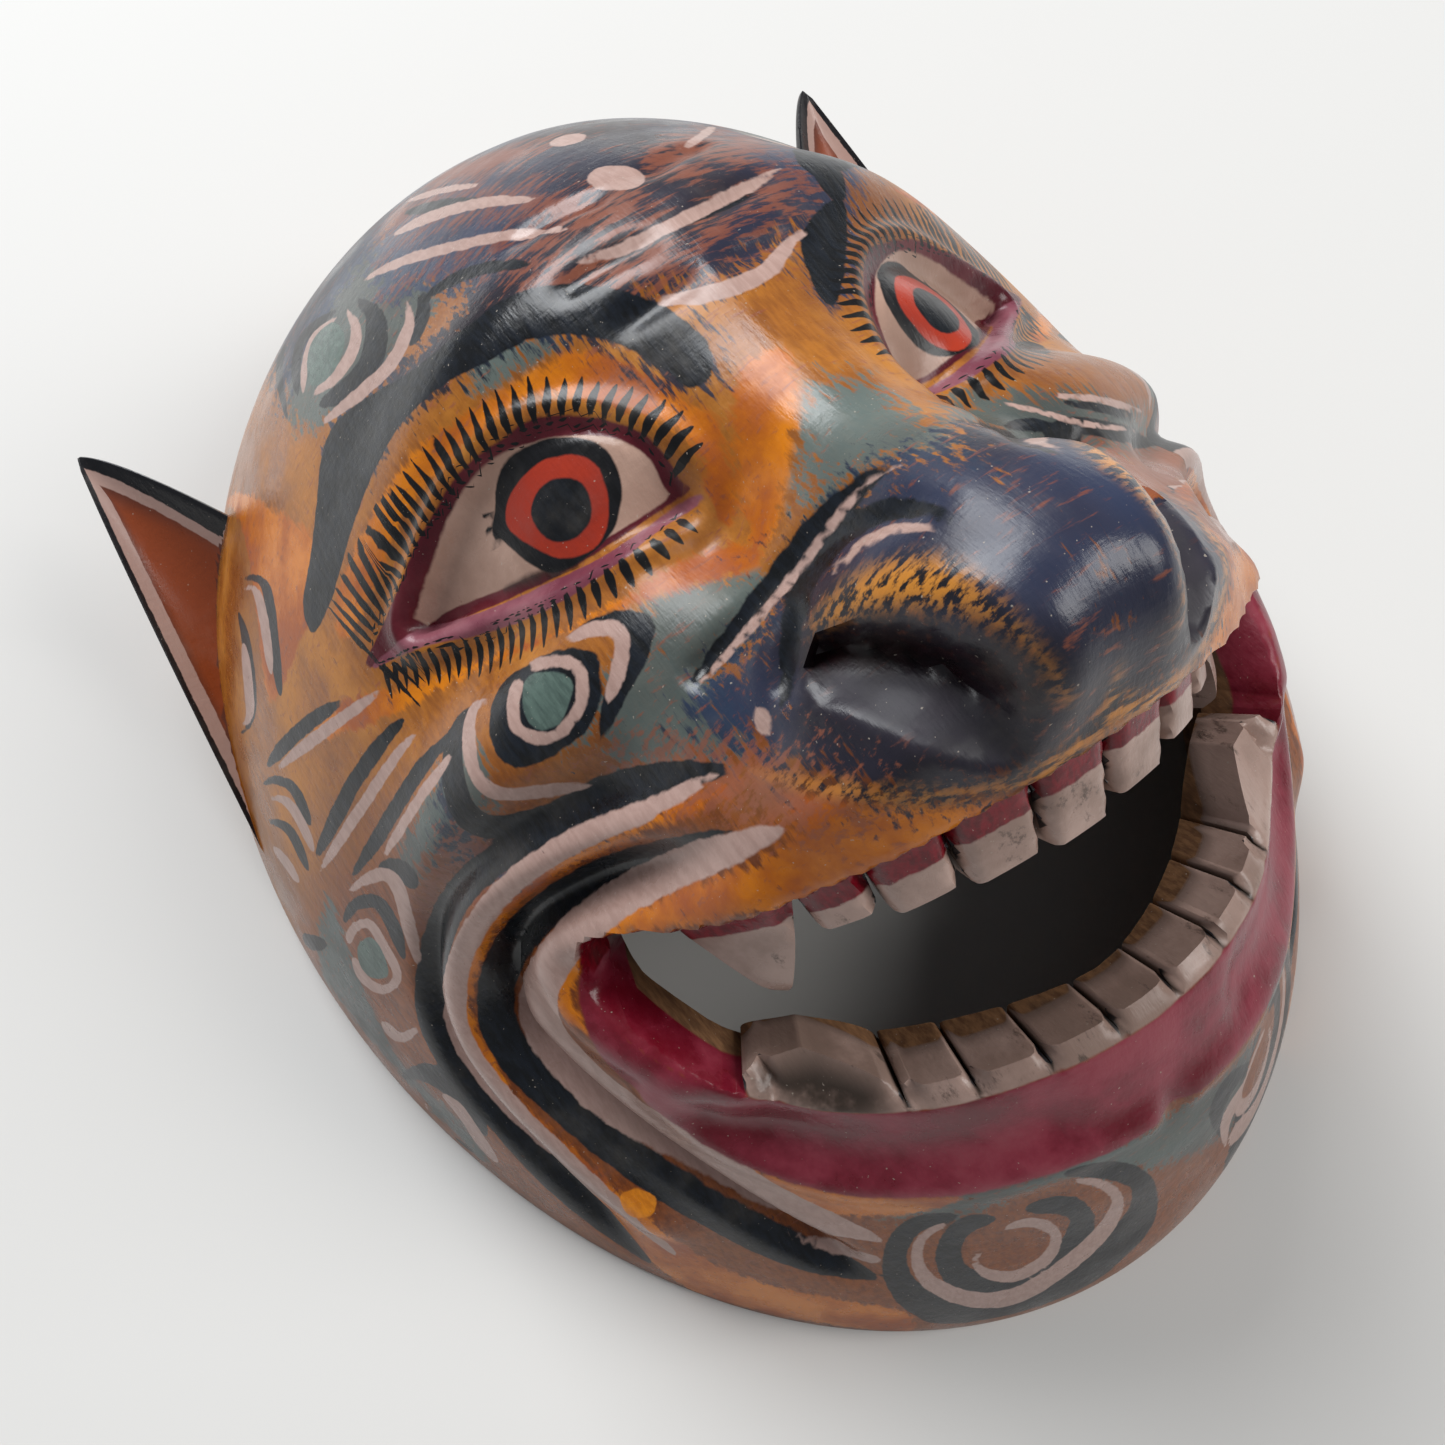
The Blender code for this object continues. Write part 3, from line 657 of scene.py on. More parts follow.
# Where the photograph shows the right half, it is painted as seen; elsewhere as the left half is.
# These are the patches that it shows, in degrees across and along the face.
SEEN_RIGHT = [((0.0, 31.0), (-17.0, 6.0)), ((0.0, 15.0), (-17.0, 180.0)), ((9.0, 31.0), (-25.0, 6.0)),
              ((0.0, 12.0), (-180.0, -60.0))]
across, along = on_face.T
as_seen = across <= 0.0
for (near, far), (low, high) in SEEN_RIGHT:
    as_seen |= (across > near) & (across < far) & (along > low) & (along < high)
painted_places = np.where(as_seen[:, None], on_face, on_face * (-1.0, 1.0))
is_right = (across > 0.0)[:, None]
eye_places = np.column_stack([-np.abs(across), along]) + is_right * np.array(RIGHT_EYE_SHIFT) * (-1.0, 1.0)
half_places = np.column_stack([np.abs(across), along])

# Washes, with soft and streaky edges
TEAL_WASH = [
    [(800, 395), (830, 380), (870, 378), (905, 405), (945, 430), (990, 440), (1010, 455), (960, 455),
     (900, 462), (860, 480), (820, 510), (795, 500), (790, 450)],
    [(640, 610), (690, 585), (740, 572), (775, 575), (770, 610), (740, 650), (700, 680), (660, 700),
     (600, 720), (575, 745), (560, 720), (600, 690), (640, 660)],
    [(400, 850), (425, 800), (445, 765), (470, 740), (490, 780), (480, 830), (440, 850), (410, 875)],
    [(980, 420), (1010, 405), (1060, 400), (1110, 415), (1150, 435), (1120, 448), (1060, 440),
     (1000, 436)],
    [(330, 900), (345, 940), (370, 1000), (400, 1060), (460, 1120), (500, 1180), (520, 1215),
     (480, 1210), (420, 1150), (370, 1080), (335, 1010), (318, 950)],
    [(1010, 1175), (1080, 1150), (1150, 1125), (1220, 1080), (1290, 990), (1320, 960), (1325, 1000),
     (1290, 1080), (1200, 1150), (1120, 1175), (1060, 1180), (960, 1215), (880, 1215), (900, 1195)],
    [(330, 330), (350, 360), (330, 390), (312, 385), (312, 345)],
    [(470, 335), (530, 330), (560, 345), (530, 375), (490, 395), (465, 370)],
    [(285, 300), (300, 260), (345, 235), (400, 245), (440, 290), (420, 330), (350, 400), (310, 430),
     (285, 400)],
    [(600, 700), (640, 650), (700, 600), (760, 585), (770, 620), (720, 680), (760, 740), (700, 760),
     (620, 765)],
    [(960, 400), (1010, 392), (1080, 392), (1150, 420), (1160, 445), (1110, 450), (1150, 520),
     (1190, 590), (1200, 640), (1170, 640), (1145, 590), (1120, 520), (1075, 475), (1000, 453),
     (950, 430)],
]
BLUE_BLACK_WASH = [
    [(385, 300), (370, 260), (420, 190), (480, 150), (560, 125), (650, 112), (740, 113), (800, 135),
     (850, 170), (850, 230), (840, 300), (815, 290), (795, 235), (780, 250), (740, 275), (700, 290),
     (650, 302), (700, 330), (712, 375), (690, 388), (640, 355), (555, 335), (480, 365), (400, 425),
     (370, 480), (335, 480), (330, 430), (380, 380), (440, 330), (455, 300), (420, 290)],
    [(830, 500), (880, 462), (940, 448), (1000, 453), (1075, 475), (1115, 520), (1142, 600),
     (1160, 650), (1120, 715), (1050, 765), (960, 800), (880, 805), (800, 770), (750, 745), (700, 735),
     (690, 700), (740, 650), (780, 590), (800, 540)],
    [(440, 790), (470, 830), (520, 850), (590, 820), (640, 795), (600, 830), (520, 870), (470, 880),
     (440, 850)],
]
RED_ORANGE_WASH = [
    [(480, 268), (562, 256), (635, 266), (660, 285), (600, 292), (520, 288)],
    [(640, 262), (700, 235), (745, 205), (790, 165), (806, 175), (790, 200), (735, 240), (680, 268),
     (650, 280)],
    [(500, 196), (560, 190), (620, 195), (660, 210), (600, 232), (540, 226)],
    [(410, 190), (470, 160), (540, 140), (530, 158), (460, 182)],
    [(650, 150), (700, 128), (730, 122), (690, 165), (660, 175)],
    [(715, 155), (735, 128), (760, 115), (778, 125), (765, 145), (735, 160)],
    [(460, 840), (500, 835), (485, 870), (450, 910), (425, 945), (415, 920), (435, 880)],
    [(1080, 452), (1130, 448), (1170, 450), (1200, 500), (1212, 560), (1205, 600), (1180, 580),
     (1150, 530), (1110, 480)],
    [(620, 770), (680, 752), (740, 760), (800, 790), (860, 810), (800, 820), (740, 800), (680, 800)],
    [(400, 205), (440, 193), (490, 188), (500, 196), (440, 206), (380, 240)],
    [(540, 206), (480, 216), (430, 232), (380, 262), (400, 240), (470, 214)],
    [(575, 240), (500, 252), (440, 262), (380, 300), (420, 268), (500, 244)],
]
BRIGHT_ORANGE = [
    [(790, 795), (850, 800), (920, 805), (1000, 800), (1060, 775), (1110, 735), (1150, 690),
     (1190, 645), (1205, 640), (1200, 665), (1167, 700), (1120, 745), (1067, 785), (997, 820),
     (891, 872), (795, 904), (700, 922), (616, 938), (585, 960), (575, 1000), (590, 1035), (560, 1010),
     (560, 960), (590, 925), (680, 890), (760, 860), (800, 830)],
    [(740, 785), (680, 818), (620, 843), (560, 873), (520, 903), (490, 943), (475, 985), (475, 1020),
     (520, 1100), (590, 1165), (690, 1250), (790, 1290), (900, 1310), (900, 1335), (780, 1325),
     (690, 1290), (600, 1215), (505, 1110), (462, 1040), (455, 985), (470, 930), (510, 880), (560, 850),
     (640, 820), (700, 790)],
    [(460, 420), (520, 375), (580, 350), (640, 370), (690, 400), (720, 430), (740, 500), (720, 520),
     (690, 440), (600, 400), (520, 400), (430, 480), (385, 560), (350, 640), (335, 600), (375, 510),
     (410, 455)],
    [(690, 560), (740, 545), (760, 565), (640, 600), (500, 660), (400, 710), (320, 740), (330, 710),
     (420, 680), (560, 630)],
    [(740, 370), (780, 350), (800, 400), (790, 470), (770, 540), (745, 520), (735, 440)],
    [(210, 490), (260, 500), (330, 560), (300, 640), (270, 700), (255, 600), (240, 520)],
    [(740, 1168), (830, 1190), (930, 1195), (960, 1200), (900, 1215), (820, 1212), (760, 1190)],
]
# The wing of the nostril, where the black is scratched down to the orange
SCRATCHED_WING = [
    [(803, 636), (820, 602), (850, 572), (905, 548), (960, 556), (1005, 592), (1045, 645), (1080, 700),
     (1050, 700), (1030, 662), (985, 632), (925, 618), (871, 618), (830, 634)],
    [(1130, 640), (1165, 600), (1185, 640), (1150, 690), (1095, 745), (1020, 790), (930, 810),
     (820, 800), (750, 770), (830, 775), (930, 785), (1020, 770), (1090, 720)],
]

# Black brush strokes and shapes under the grey-pink ones
BLACK_SHAPES = [
    [(690, 388), (660, 368), (630, 350), (600, 338), (555, 335), (525, 342), (480, 365), (450, 380),
     (420, 405), (400, 425), (385, 450), (370, 480), (350, 535), (340, 570), (330, 603), (313, 633),
     (303, 605), (310, 560), (316, 510), (322, 455), (338, 420), (375, 392), (410, 372), (440, 348),
     (475, 320), (510, 296), (560, 284), (620, 290), (665, 306), (697, 330), (711, 352), (711, 375)],
    [(800, 240), (805, 262), (815, 290), (826, 304), (836, 303), (843, 280), (847, 240), (845, 205),
     (833, 200), (815, 215)],
    [(520, 670), (545, 655), (575, 648), (597, 655), (600, 670), (598, 700), (590, 725), (570, 745),
     (540, 762), (515, 768), (498, 755), (490, 735), (492, 705), (505, 680)],
    [(563, 640), (590, 620), (620, 611), (645, 614), (656, 628), (646, 660), (630, 690), (602, 740),
     (601, 705), (616, 670), (620, 642), (612, 628), (590, 631)],
]
BLACK_STROKES = [
    ([(478, 705), (462, 720), (452, 760), (462, 808), (485, 826), (520, 825), (560, 812), (600, 790),
     (650, 775), (700, 768), (735, 768)], 22),
    ([(735, 769), (700, 775), (600, 800), (550, 832), (500, 857), (458, 895), (436, 945), (430, 1000),
     (442, 1040), (470, 1080), (560, 1182), (660, 1270)], 27, (0.1, 0.2)),
    ([(740, 830), (680, 850), (620, 870), (570, 895), (530, 925), (505, 960), (495, 1000), (505, 1040),
     (548, 1090), (659, 1178), (784, 1246), (888, 1281)], 33, (0.15, 0.15)),
    ([(265, 770), (290, 740), (320, 715), (345, 700)], 13),
    ([(315, 860), (330, 830), (350, 790), (380, 745), (408, 715)], 14),
    ([(350, 880), (370, 850), (395, 810), (420, 770), (455, 728)], 13),
    ([(262, 785), (275, 780), (295, 790), (312, 830)], 9),
    ([(265, 820), (290, 830), (310, 875)], 8),
    ([(293, 937), (310, 942), (329, 946)], 13),
    ([(376, 868), (400, 868), (418, 890)], 16),
    ([(343, 925), (355, 905), (378, 902), (395, 930), (405, 962)], 12),
    ([(240, 580), (255, 578), (268, 592), (276, 660), (281, 700)], 9),
    ([(238, 610), (246, 640), (252, 690), (250, 722), (240, 735)], 8),
    ([(355, 298), (376, 318), (372, 360), (350, 388), (316, 408)], 20),
    ([(340, 308), (305, 335), (296, 365), (298, 400)], 8),
    ([(420, 290), (424, 312), (408, 350)], 12),
    ([(288, 330), (279, 370), (288, 425)], 6),
    ([(1010, 345), (1030, 346), (1052, 353)], 8),
    ([(400, 1078), (425, 1072), (455, 1090), (490, 1140)], 18),
    ([(410, 1110), (440, 1135), (480, 1160)], 12),
    ([(895, 462), (860, 488), (820, 528), (780, 578), (735, 633), (685, 690)], 26, (0.3, 0.5)),
    ([(965, 527), (930, 510), (895, 508), (860, 522), (830, 547), (806, 580), (793, 620), (787, 680),
     (783, 718)], 20),
    ([(1000, 452), (1075, 474), (1116, 520), (1143, 600), (1165, 635)], 14),
    ([(1048, 425), (1080, 425), (1120, 434), (1158, 446)], 15),
    ([(1000, 428), (1030, 424), (1060, 432), (1090, 440)], 12),
    ([(1060, 402), (1100, 408), (1140, 420)], 8),
    ([(640, 235), (700, 215), (760, 190)], 10),
    ([(790, 150), (820, 165), (845, 205)], 22),
    ([(400, 215), (440, 205), (490, 200)], 9),
    ([(420, 300), (470, 272), (540, 262)], 10),
]
CHIN_SPIRAL = [
    ([(960, 1215), (915, 1225), (894, 1255), (905, 1290), (945, 1312), (1000, 1312), (1060, 1290),
     (1110, 1250), (1142, 1215), (1140, 1180), (1100, 1170), (1060, 1175)], 26),
    ([(1000, 1218), (965, 1225), (948, 1252), (960, 1278), (1000, 1288), (1045, 1275), (1075, 1245),
     (1082, 1215), (1060, 1205), (1020, 1210)], 24),
    ([(1225, 1140), (1215, 1115), (1232, 1080), (1258, 1060)], 12),
    ([(1275, 1050), (1300, 1010), (1318, 975)], 10),
]
PINK_STROKES = [
    ([(722, 771), (690, 788), (640, 813), (590, 833), (545, 858), (510, 885), (480, 920), (460, 960),
     (455, 1000), (462, 1040), (505, 1100), (590, 1180), (684, 1263)], 21, (0.15, 0.5)),
    ([(790, 826), (740, 845), (680, 868), (620, 898), (575, 933), (548, 970), (538, 1000), (546, 1035),
     (580, 1075), (625, 1113), (709, 1158), (784, 1203), (893, 1245)], 34, (0.12, 0.4)),
    ([(784, 1232), (820, 1245), (888, 1262)], 10),
    ([(275, 772), (300, 750), (340, 720), (385, 688)], 11),
    ([(318, 875), (340, 840), (370, 795), (400, 750), (418, 732)], 10),
    ([(382, 860), (400, 830), (425, 790), (455, 750)], 9),
    ([(268, 798), (285, 800), (300, 820), (315, 855)], 8),
    ([(272, 845), (286, 862), (300, 885)], 7),
    ([(347, 893), (365, 880), (385, 874), (398, 887), (406, 915), (420, 970)], 12),
    ([(348, 945), (354, 928), (370, 924), (383, 945), (398, 975), (385, 990), (365, 980), (352, 955)],
     8, (0.05, 0.05)),
    ([(380, 1020), (400, 1038), (420, 1027)], 9),
    ([(243, 590), (255, 589), (264, 620), (272, 680)], 8),
    ([(243, 640), (247, 670), (250, 715), (240, 728)], 8),
    ([(345, 308), (357, 330), (350, 357), (332, 380), (310, 396)], 10),
    ([(340, 315), (314, 337), (305, 365), (303, 396)], 6),
    ([(405, 298), (410, 320), (402, 345), (386, 370), (358, 395), (320, 425)], 11),
    ([(403, 203), (440, 191), (485, 184)], 5),
    ([(390, 237), (430, 217), (480, 203), (540, 199)], 9),
    ([(360, 282), (400, 262), (460, 245), (520, 234), (572, 229)], 9),
    ([(570, 265), (620, 250), (670, 226), (720, 201), (790, 165)], 12),
    ([(652, 302), (700, 296), (740, 285), (770, 268), (790, 243), (808, 230)], 15),
    ([(548, 145), (568, 140), (588, 136)], 9),
    ([(682, 148), (700, 138), (720, 122), (740, 115)], 7),
    ([(525, 668), (557, 661), (580, 668), (582, 698), (570, 722), (553, 737), (530, 736), (515, 724),
     (513, 700), (521, 677)], 11, (0.03, 0.03)),
    ([(560, 643), (590, 630), (615, 628), (622, 642), (618, 672), (605, 708)], 14),
    ([(494, 700), (475, 706), (469, 730), (471, 760), (482, 784), (505, 794), (545, 791), (598, 784)],
     12),
    ([(440, 1092), (460, 1110), (480, 1140), (500, 1165)], 9),
    ([(425, 1100), (430, 1125), (460, 1150)], 7),
    ([(950, 1222), (920, 1240), (922, 1275), (960, 1297), (1010, 1298), (1060, 1270), (1100, 1235),
     (1118, 1205), (1105, 1185), (1070, 1180)], 14),
    ([(985, 1245), (975, 1262), (990, 1275), (1020, 1275), (1050, 1255), (1055, 1232), (1030, 1222),
     (1000, 1230)], 10),
    ([(1225, 1150), (1226, 1120), (1245, 1088), (1262, 1068)], 8),
    ([(1285, 1050), (1310, 1015), (1322, 985)], 7),
    ([(1048, 395), (1100, 400), (1146, 415)], 6),
    ([(1000, 402), (1040, 412), (1090, 425), (1140, 432)], 5),
    ([(1035, 447), (1060, 455), (1075, 462)], 5),
    ([(905, 462), (870, 480), (835, 520), (795, 575), (740, 640), (690, 695)], 8),
    ([(950, 530), (900, 528), (860, 545), (825, 580)], 8),
    ([(757, 705), (763, 722), (770, 738)], 16),
]
PINK_SHAPES = [[(587, 178), (600, 167), (625, 166), (643, 174), (640, 186), (615, 191), (596, 188)]]

GREY_GREEN_SPOTS = [
    [(527, 678), (558, 672), (572, 684), (569, 705), (556, 727), (536, 729), (524, 712)],
    [(358, 945), (372, 938), (384, 955), (388, 975), (372, 978), (360, 965)],
    [(314, 338), (335, 322), (345, 342), (332, 374), (312, 386), (307, 362)],
]
ORANGE_CHIP = [(620, 1197), (638, 1188), (656, 1200), (650, 1216), (630, 1216)]

# The nostril's hollow under the edge of its wing: dark crimson paint, darkened further with painted shade
# where the wing overhangs it
NOSTRIL_SHADED_HOLLOW = [
    (802, 648), (830, 634), (871, 628), (925, 628), (973, 637), (1013, 661), (1037, 691), (1040, 712),
    (1005, 705), (960, 684), (900, 668), (850, 668), (812, 675)
]
NOSTRIL_FLOOR = [
    (800, 660), (850, 664), (900, 664), (960, 680), (1005, 700), (1040, 720), (1030, 765), (970, 770),
    (900, 745), (840, 712)
]

# The eye, read off the left one
SCLERA = [
    (413, 629), (440, 540), (455, 505), (475, 475), (500, 455), (540, 440), (580, 435), (620, 440),
    (650, 460), (665, 490), (668, 498), (620, 530), (560, 565), (500, 590), (450, 610)
]
UPPER_LID = [
    (366, 668), (385, 620), (400, 585), (413, 550), (430, 520), (450, 485), (470, 462), (500, 440),
    (530, 420), (560, 415), (600, 418), (640, 432), (665, 455), (680, 480), (690, 490), (668, 505),
    (560, 575), (413, 640)
]
LOWER_LID = [
    (413, 632), (450, 622), (500, 605), (550, 582), (600, 558), (650, 525), (690, 497), (705, 500),
    (660, 530), (620, 562), (570, 597), (520, 622), (470, 637), (420, 648), (372, 668)
]
EYE_RING = [
    (495, 510), (497, 480), (510, 458), (535, 442), (565, 437), (595, 442), (612, 458), (621, 482),
    (620, 510), (610, 535), (590, 555), (565, 570), (545, 572), (525, 560), (505, 543), (492, 533)
]
IRIS = [
    (506, 522), (508, 500), (520, 480), (540, 462), (560, 456), (580, 456), (597, 466), (605, 485),
    (609, 505), (606, 530), (595, 548), (575, 557), (555, 557), (535, 548), (515, 535)
]
PUPIL_SHAPE = [
    (531, 510), (538, 490), (552, 480), (565, 478), (580, 482), (589, 495), (592, 510), (588, 525),
    (575, 538), (558, 542), (545, 538), (535, 525)
]
# A painted shadow: a dark brown stroke along the sclera's lower edge, in the crease where the eyeball meets
# the lower lid
EYE_PAINTED_SHADOW_STROKE = ([(500, 592), (550, 572), (600, 548)], 9)
RING_SPIKES = [([(500, 512), (488, 516), (480, 514)], 5), ([(502, 528), (490, 530), (484, 538)], 5),
               ([(506, 540), (495, 545), (490, 552)], 5)]
# Where the lashes grow from, along both lids
UPPER_LASH_ROOTS = [
    (365, 655), (378, 620), (395, 590), (405, 560), (420, 530), (440, 495), (465, 465), (495, 440),
    (530, 420), (560, 413), (600, 415), (640, 430), (665, 455), (680, 480)
]
LOWER_LASH_ROOTS = [
    (380, 668), (400, 660), (440, 648), (480, 640), (520, 622), (560, 600), (600, 575), (640, 548),
    (685, 515)
]

# A stroke's outline is evened out this many times where it crosses a furrow
STROKE_SMOOTHINGS = 4


def on_mask(rings):
    """The rings laid on the face, without those that miss it."""
    laid = [on_the_face(ring) for ring in rings]
    return [ring for ring in laid if len(ring) > 3]


def outlines(shapes):
    """The outlines of closed shapes, laid on the face."""
    return on_mask([curve(shape, closed=True) for shape in shapes])


def strokes(lines):
    """The outlines of brush strokes, laid on the face and smoothed where they cross a furrow."""
    laid = on_mask([brushed(*line) for line in lines])
    for _ in range(STROKE_SMOOTHINGS):
        laid = [(np.roll(ring, 1, axis=0) + 2.0 * ring + np.roll(ring, -1, axis=0)) / 4.0 for ring in laid]
    return laid


# What each layer of paint covers: the places that it is laid by, its shapes and its strokes
COVERED = {
    'teal': (painted_places, TEAL_WASH, []),
    'blue_black': (painted_places, BLUE_BLACK_WASH, []),
    'red_orange': (painted_places, RED_ORANGE_WASH, []),
    'orange': (painted_places, BRIGHT_ORANGE, []),
    'scratched': (painted_places, SCRATCHED_WING, []),
    'black': (painted_places, BLACK_SHAPES, BLACK_STROKES + CHIN_SPIRAL),
    'pink': (painted_places, PINK_SHAPES, PINK_STROKES),
    'grey_green': (painted_places, GREY_GREEN_SPOTS, []),
    'chip': (on_face, [ORANGE_CHIP], []),
    'nostril': (painted_places, [NOSTRIL_SHADED_HOLLOW], []),
    'nostril_floor': (painted_places, [NOSTRIL_FLOOR], []),
    'sclera': (eye_places, [SCLERA], []),
    'lid': (eye_places, [UPPER_LID], []),
    'lower_lid': (eye_places, [LOWER_LID], []),
    'ring': (eye_places, [EYE_RING], RING_SPIKES),
    'iris': (eye_places, [IRIS], []),
    'pupil': (eye_places, [PUPIL_SHAPE], []),
    'eye_painted_shadow': (eye_places, [], [EYE_PAINTED_SHADOW_STROKE]),
}
painted = {name: depth_into(places, outlines(shapes) + strokes(lines))
           for name, (places, shapes, lines) in COVERED.items()}

# Lips, gums and teeth follow the carved rows, the same on both halves. Each value is positive
# where the paint lies, in degrees. The lower lip's outline runs on over the middle of the face.
GUM_DEPTH = 3.0
TEETH_END = 29.5
OVER_THE_MIDDLE = [(-5.0, -54.2), (-5.0, -63.0)]
half_across, half_along = half_places.T
lips = curve(UPPER_LIP + LIP_CORNER + LOWER_LIP)
in_lips = into(half_places, np.vstack([lips, lips[::-1] * (-1, 1)]))
jaw = curve(JAW_EDGE)
lower_lip = np.vstack([curve(LIP_CORNER + LOWER_LIP), OVER_THE_MIDDLE, jaw[::-1]])
CRIMSON_CORNER = [
    (594, 948), (602, 942), (606, 1000), (640, 1058), (700, 1082), (760, 1103), (850, 1128),
    (908, 1140), (908, 1191), (830, 1183), (759, 1163), (700, 1135), (640, 1092), (600, 1055),
    (581, 1010), (581, 970)
]
lip_corner = depth_into(painted_places, outlines([CRIMSON_CORNER]))
painted['crimson'] = np.maximum(into(half_places, lower_lip), lip_corner)
painted['crimson'] = np.maximum(painted['crimson'], np.minimum(in_lips, half_across - TEETH_END))
painted['teeth'] = np.minimum(in_lips, TEETH_END - half_across)
painted['gum'] = np.minimum(in_lips, GUM_DEPTH - (upper_row(half_across) - half_along))

# The forehead's wash runs back over the crown, out of the photograph's sight: from and to along
# the face, how far to each side, how softly it ends, and its least and most depth
CROWN_WASH = (36.0, 68.0)
CROWN_WASH_SIDE = 30.0
CROWN_WASH_SOFTNESS = 0.4
CROWN_WASH_DEPTH = (-2.5, 6.0)
over_crown = np.minimum(half_along - CROWN_WASH[0], CROWN_WASH[1] - half_along)
over_crown = np.minimum(over_crown, CROWN_WASH_SIDE - half_across)
over_crown = np.clip(over_crown * CROWN_WASH_SOFTNESS, *CROWN_WASH_DEPTH)
painted['blue_black'] = np.maximum(painted['blue_black'], over_crown)

# Dirt in the gaps between the teeth, half as wide as this, by the nearest gap of the place's row
DIRTY_GAP = 0.16
NO_GAP = 3.0
from_gap = np.full(corner_count, NO_GAP)
upper_teeth = half_along > (upper_row(half_across) + lower_row(half_across)) / 2.0
for row, sizes in ((upper_teeth, UPPER_TEETH), (~upper_teeth, LOWER_TEETH)):
    for end, _ in sizes:
        from_gap[row] = np.minimum(from_gap[row], np.abs(half_across[row] - end))
painted['gap'] = DIRTY_GAP - from_gap

# The lower fang of the side towards the camera is battered and dirty
LOWER_FANG = [
    (722, 1085), (735, 1050), (760, 1015), (800, 1015), (850, 1055), (885, 1085), (890, 1115),
    (840, 1122), (780, 1105)
]
painted['fang'] = depth_into(on_face, outlines([LOWER_FANG]))

# Bare wood shows behind, on the flat rim and in the hollow: how flat the rim is, and how deep in
# the wood the paint ends on the rim and inside the mouth, in millimetres
RIM_FLATNESS = 0.05
PAINTED_RIM = 0.3
PAINTED_WALL = 7.0
DEEPEST_WALL = 12.0
on_rim = corner_places[:, 2] * MM < RIM_FLATNESS
painted['bare'] = np.where(on_rim, under_face - PAINTED_RIM, under_face - PAINTED_WALL)
# How deep each place lies in the wood, up to the deepest: it sets the painted shade on the teeth inside the
# mouth
painted['wall'] = np.clip(under_face, 0.0, DEEPEST_WALL)

# The ground is left darker and redder down the cheeks and the jaw, higher up towards the sides
CHEEK_LINE = -8.0
CHEEK_LINE_SLOPE = 0.35
CHEEK_LINE_MIDDLE = 30.0
painted['jaw_ground'] = CHEEK_LINE - half_along + CHEEK_LINE_SLOPE * (half_across - CHEEK_LINE_MIDDLE)

# The ears' own paint: a black edge, a grey-pink band inside it, and red-brown within. These are
# the bands' widths in millimetres, and how far an ear stands off the face where its paint starts.
EAR_BLACK = 2.0
EAR_BLACK_AT_ROOT = 3.5
EAR_PINK = 2.2
EAR_PINK_MORE_BELOW = 0.8
EAR_START = 0.25
EAR_NEAR = 0.1
EAR_TIP = 0.999
UNPAINTED = -2.0
painted['ear'] = -under_face - EAR_START
for name in ('ear_black', 'ear_pink', 'ear_inside'):
    painted[name] = np.full(corner_count, UNPAINTED)
for side in (-1.0, 1.0):
    root, aim, spread, front = ear_axes(side)
    ears = np.flatnonzero((under_face < -EAR_NEAR) & (corner_places[:, 0] * side > 0.0))
    from_root = (corner_places[ears] - root).T
    out, beside, deep = np.linalg.solve(np.column_stack([aim, spread, front]), from_root)
    out = np.clip(out / EAR_LENGTH, 0.0, EAR_TIP)
    narrowing = (1.0 - out) ** EAR_TAPER
    edge = np.clip(np.abs(beside) / (EAR_WIDTH / 2.0 * narrowing), 0.0, 1.0)
    from_edge = (1.0 - edge) * EAR_WIDTH / 2.0 * narrowing * MM
    dished = deep * MM > -EAR_DISH * (1.0 - edge ** 2) * narrowing * MM
    towards_crown = beside < 0.0
    black = EAR_BLACK + EAR_BLACK_AT_ROOT * (1.0 - out) * towards_crown
    pink = EAR_PINK * (1.0 + EAR_PINK_MORE_BELOW * ~towards_crown)
    painted['ear_black'][ears] = black - from_edge
    painted['ear_pink'][ears] = np.where(dished, black + pink - from_edge, UNPAINTED)
    painted['ear_inside'][ears] = np.where(dished, from_edge, UNPAINTED)

# The lashes: each eye has a comb of tapered strokes round it. A place's turn along the comb and
# its share of the local lash, from root to tip, are kept, and the material draws the strokes. Each
# comb has its roots, its tips and a number of lashes; the last values are in degrees.
UPPER_LASH_TIPS = [
    (322, 672), (332, 610), (350, 570), (364, 535), (384, 500), (408, 468), (438, 434), (472, 407),
    (514, 384), (562, 376), (616, 382), (664, 402), (700, 436), (712, 486)
]
LOWER_LASH_TIPS = [
    (372, 700), (405, 692), (446, 683), (490, 672), (532, 652), (574, 628), (612, 600), (660, 570),
    (698, 532)
]
LASHES = {'upper': (UPPER_LASH_ROOTS, UPPER_LASH_TIPS, 36),
          'lower': (LOWER_LASH_ROOTS, LOWER_LASH_TIPS, 26)}
ROUND_THE_EYE = 25.0
OVER_THE_LID = 0.6
NO_LASH = 3.0
almond = np.vstack([on_the_face(curve(UPPER_LASH_ROOTS)), on_the_face(curve(LOWER_LASH_ROOTS))[::-1]])
near_eye = np.flatnonzero(np.linalg.norm(eye_places - almond.mean(axis=0), axis=1) < ROUND_THE_EYE)
outwards = -into(eye_places[near_eye], almond)
for lid, (roots, tips, count) in LASHES.items():
    root_line = on_the_face(curve(roots))
    lengths = np.linalg.norm(on_the_face(curve(tips)) - root_line, axis=1)
    gap, share = to_line(eye_places[near_eye], root_line)
    run = np.append(0.0, np.cumsum(np.linalg.norm(np.diff(root_line, axis=0), axis=1)))
    local = np.interp(share, run / run[-1], lengths)
    turn = np.zeros(corner_count)
    grown = np.full(corner_count, NO_LASH)
    turn[near_eye] = share * count
    signed = np.where(outwards > 0.0, gap, -gap)
    grown[near_eye] = np.where(outwards > -OVER_THE_LID, signed / local, NO_LASH)
    painted[lid + '_lash_turn'] = turn
    painted[lid + '_lash_share'] = grown

for name, values in painted.items():
    kept = finished.attributes.new(name, 'FLOAT', 'POINT')
    kept.data.foreach_set('value', values.astype(np.float32))

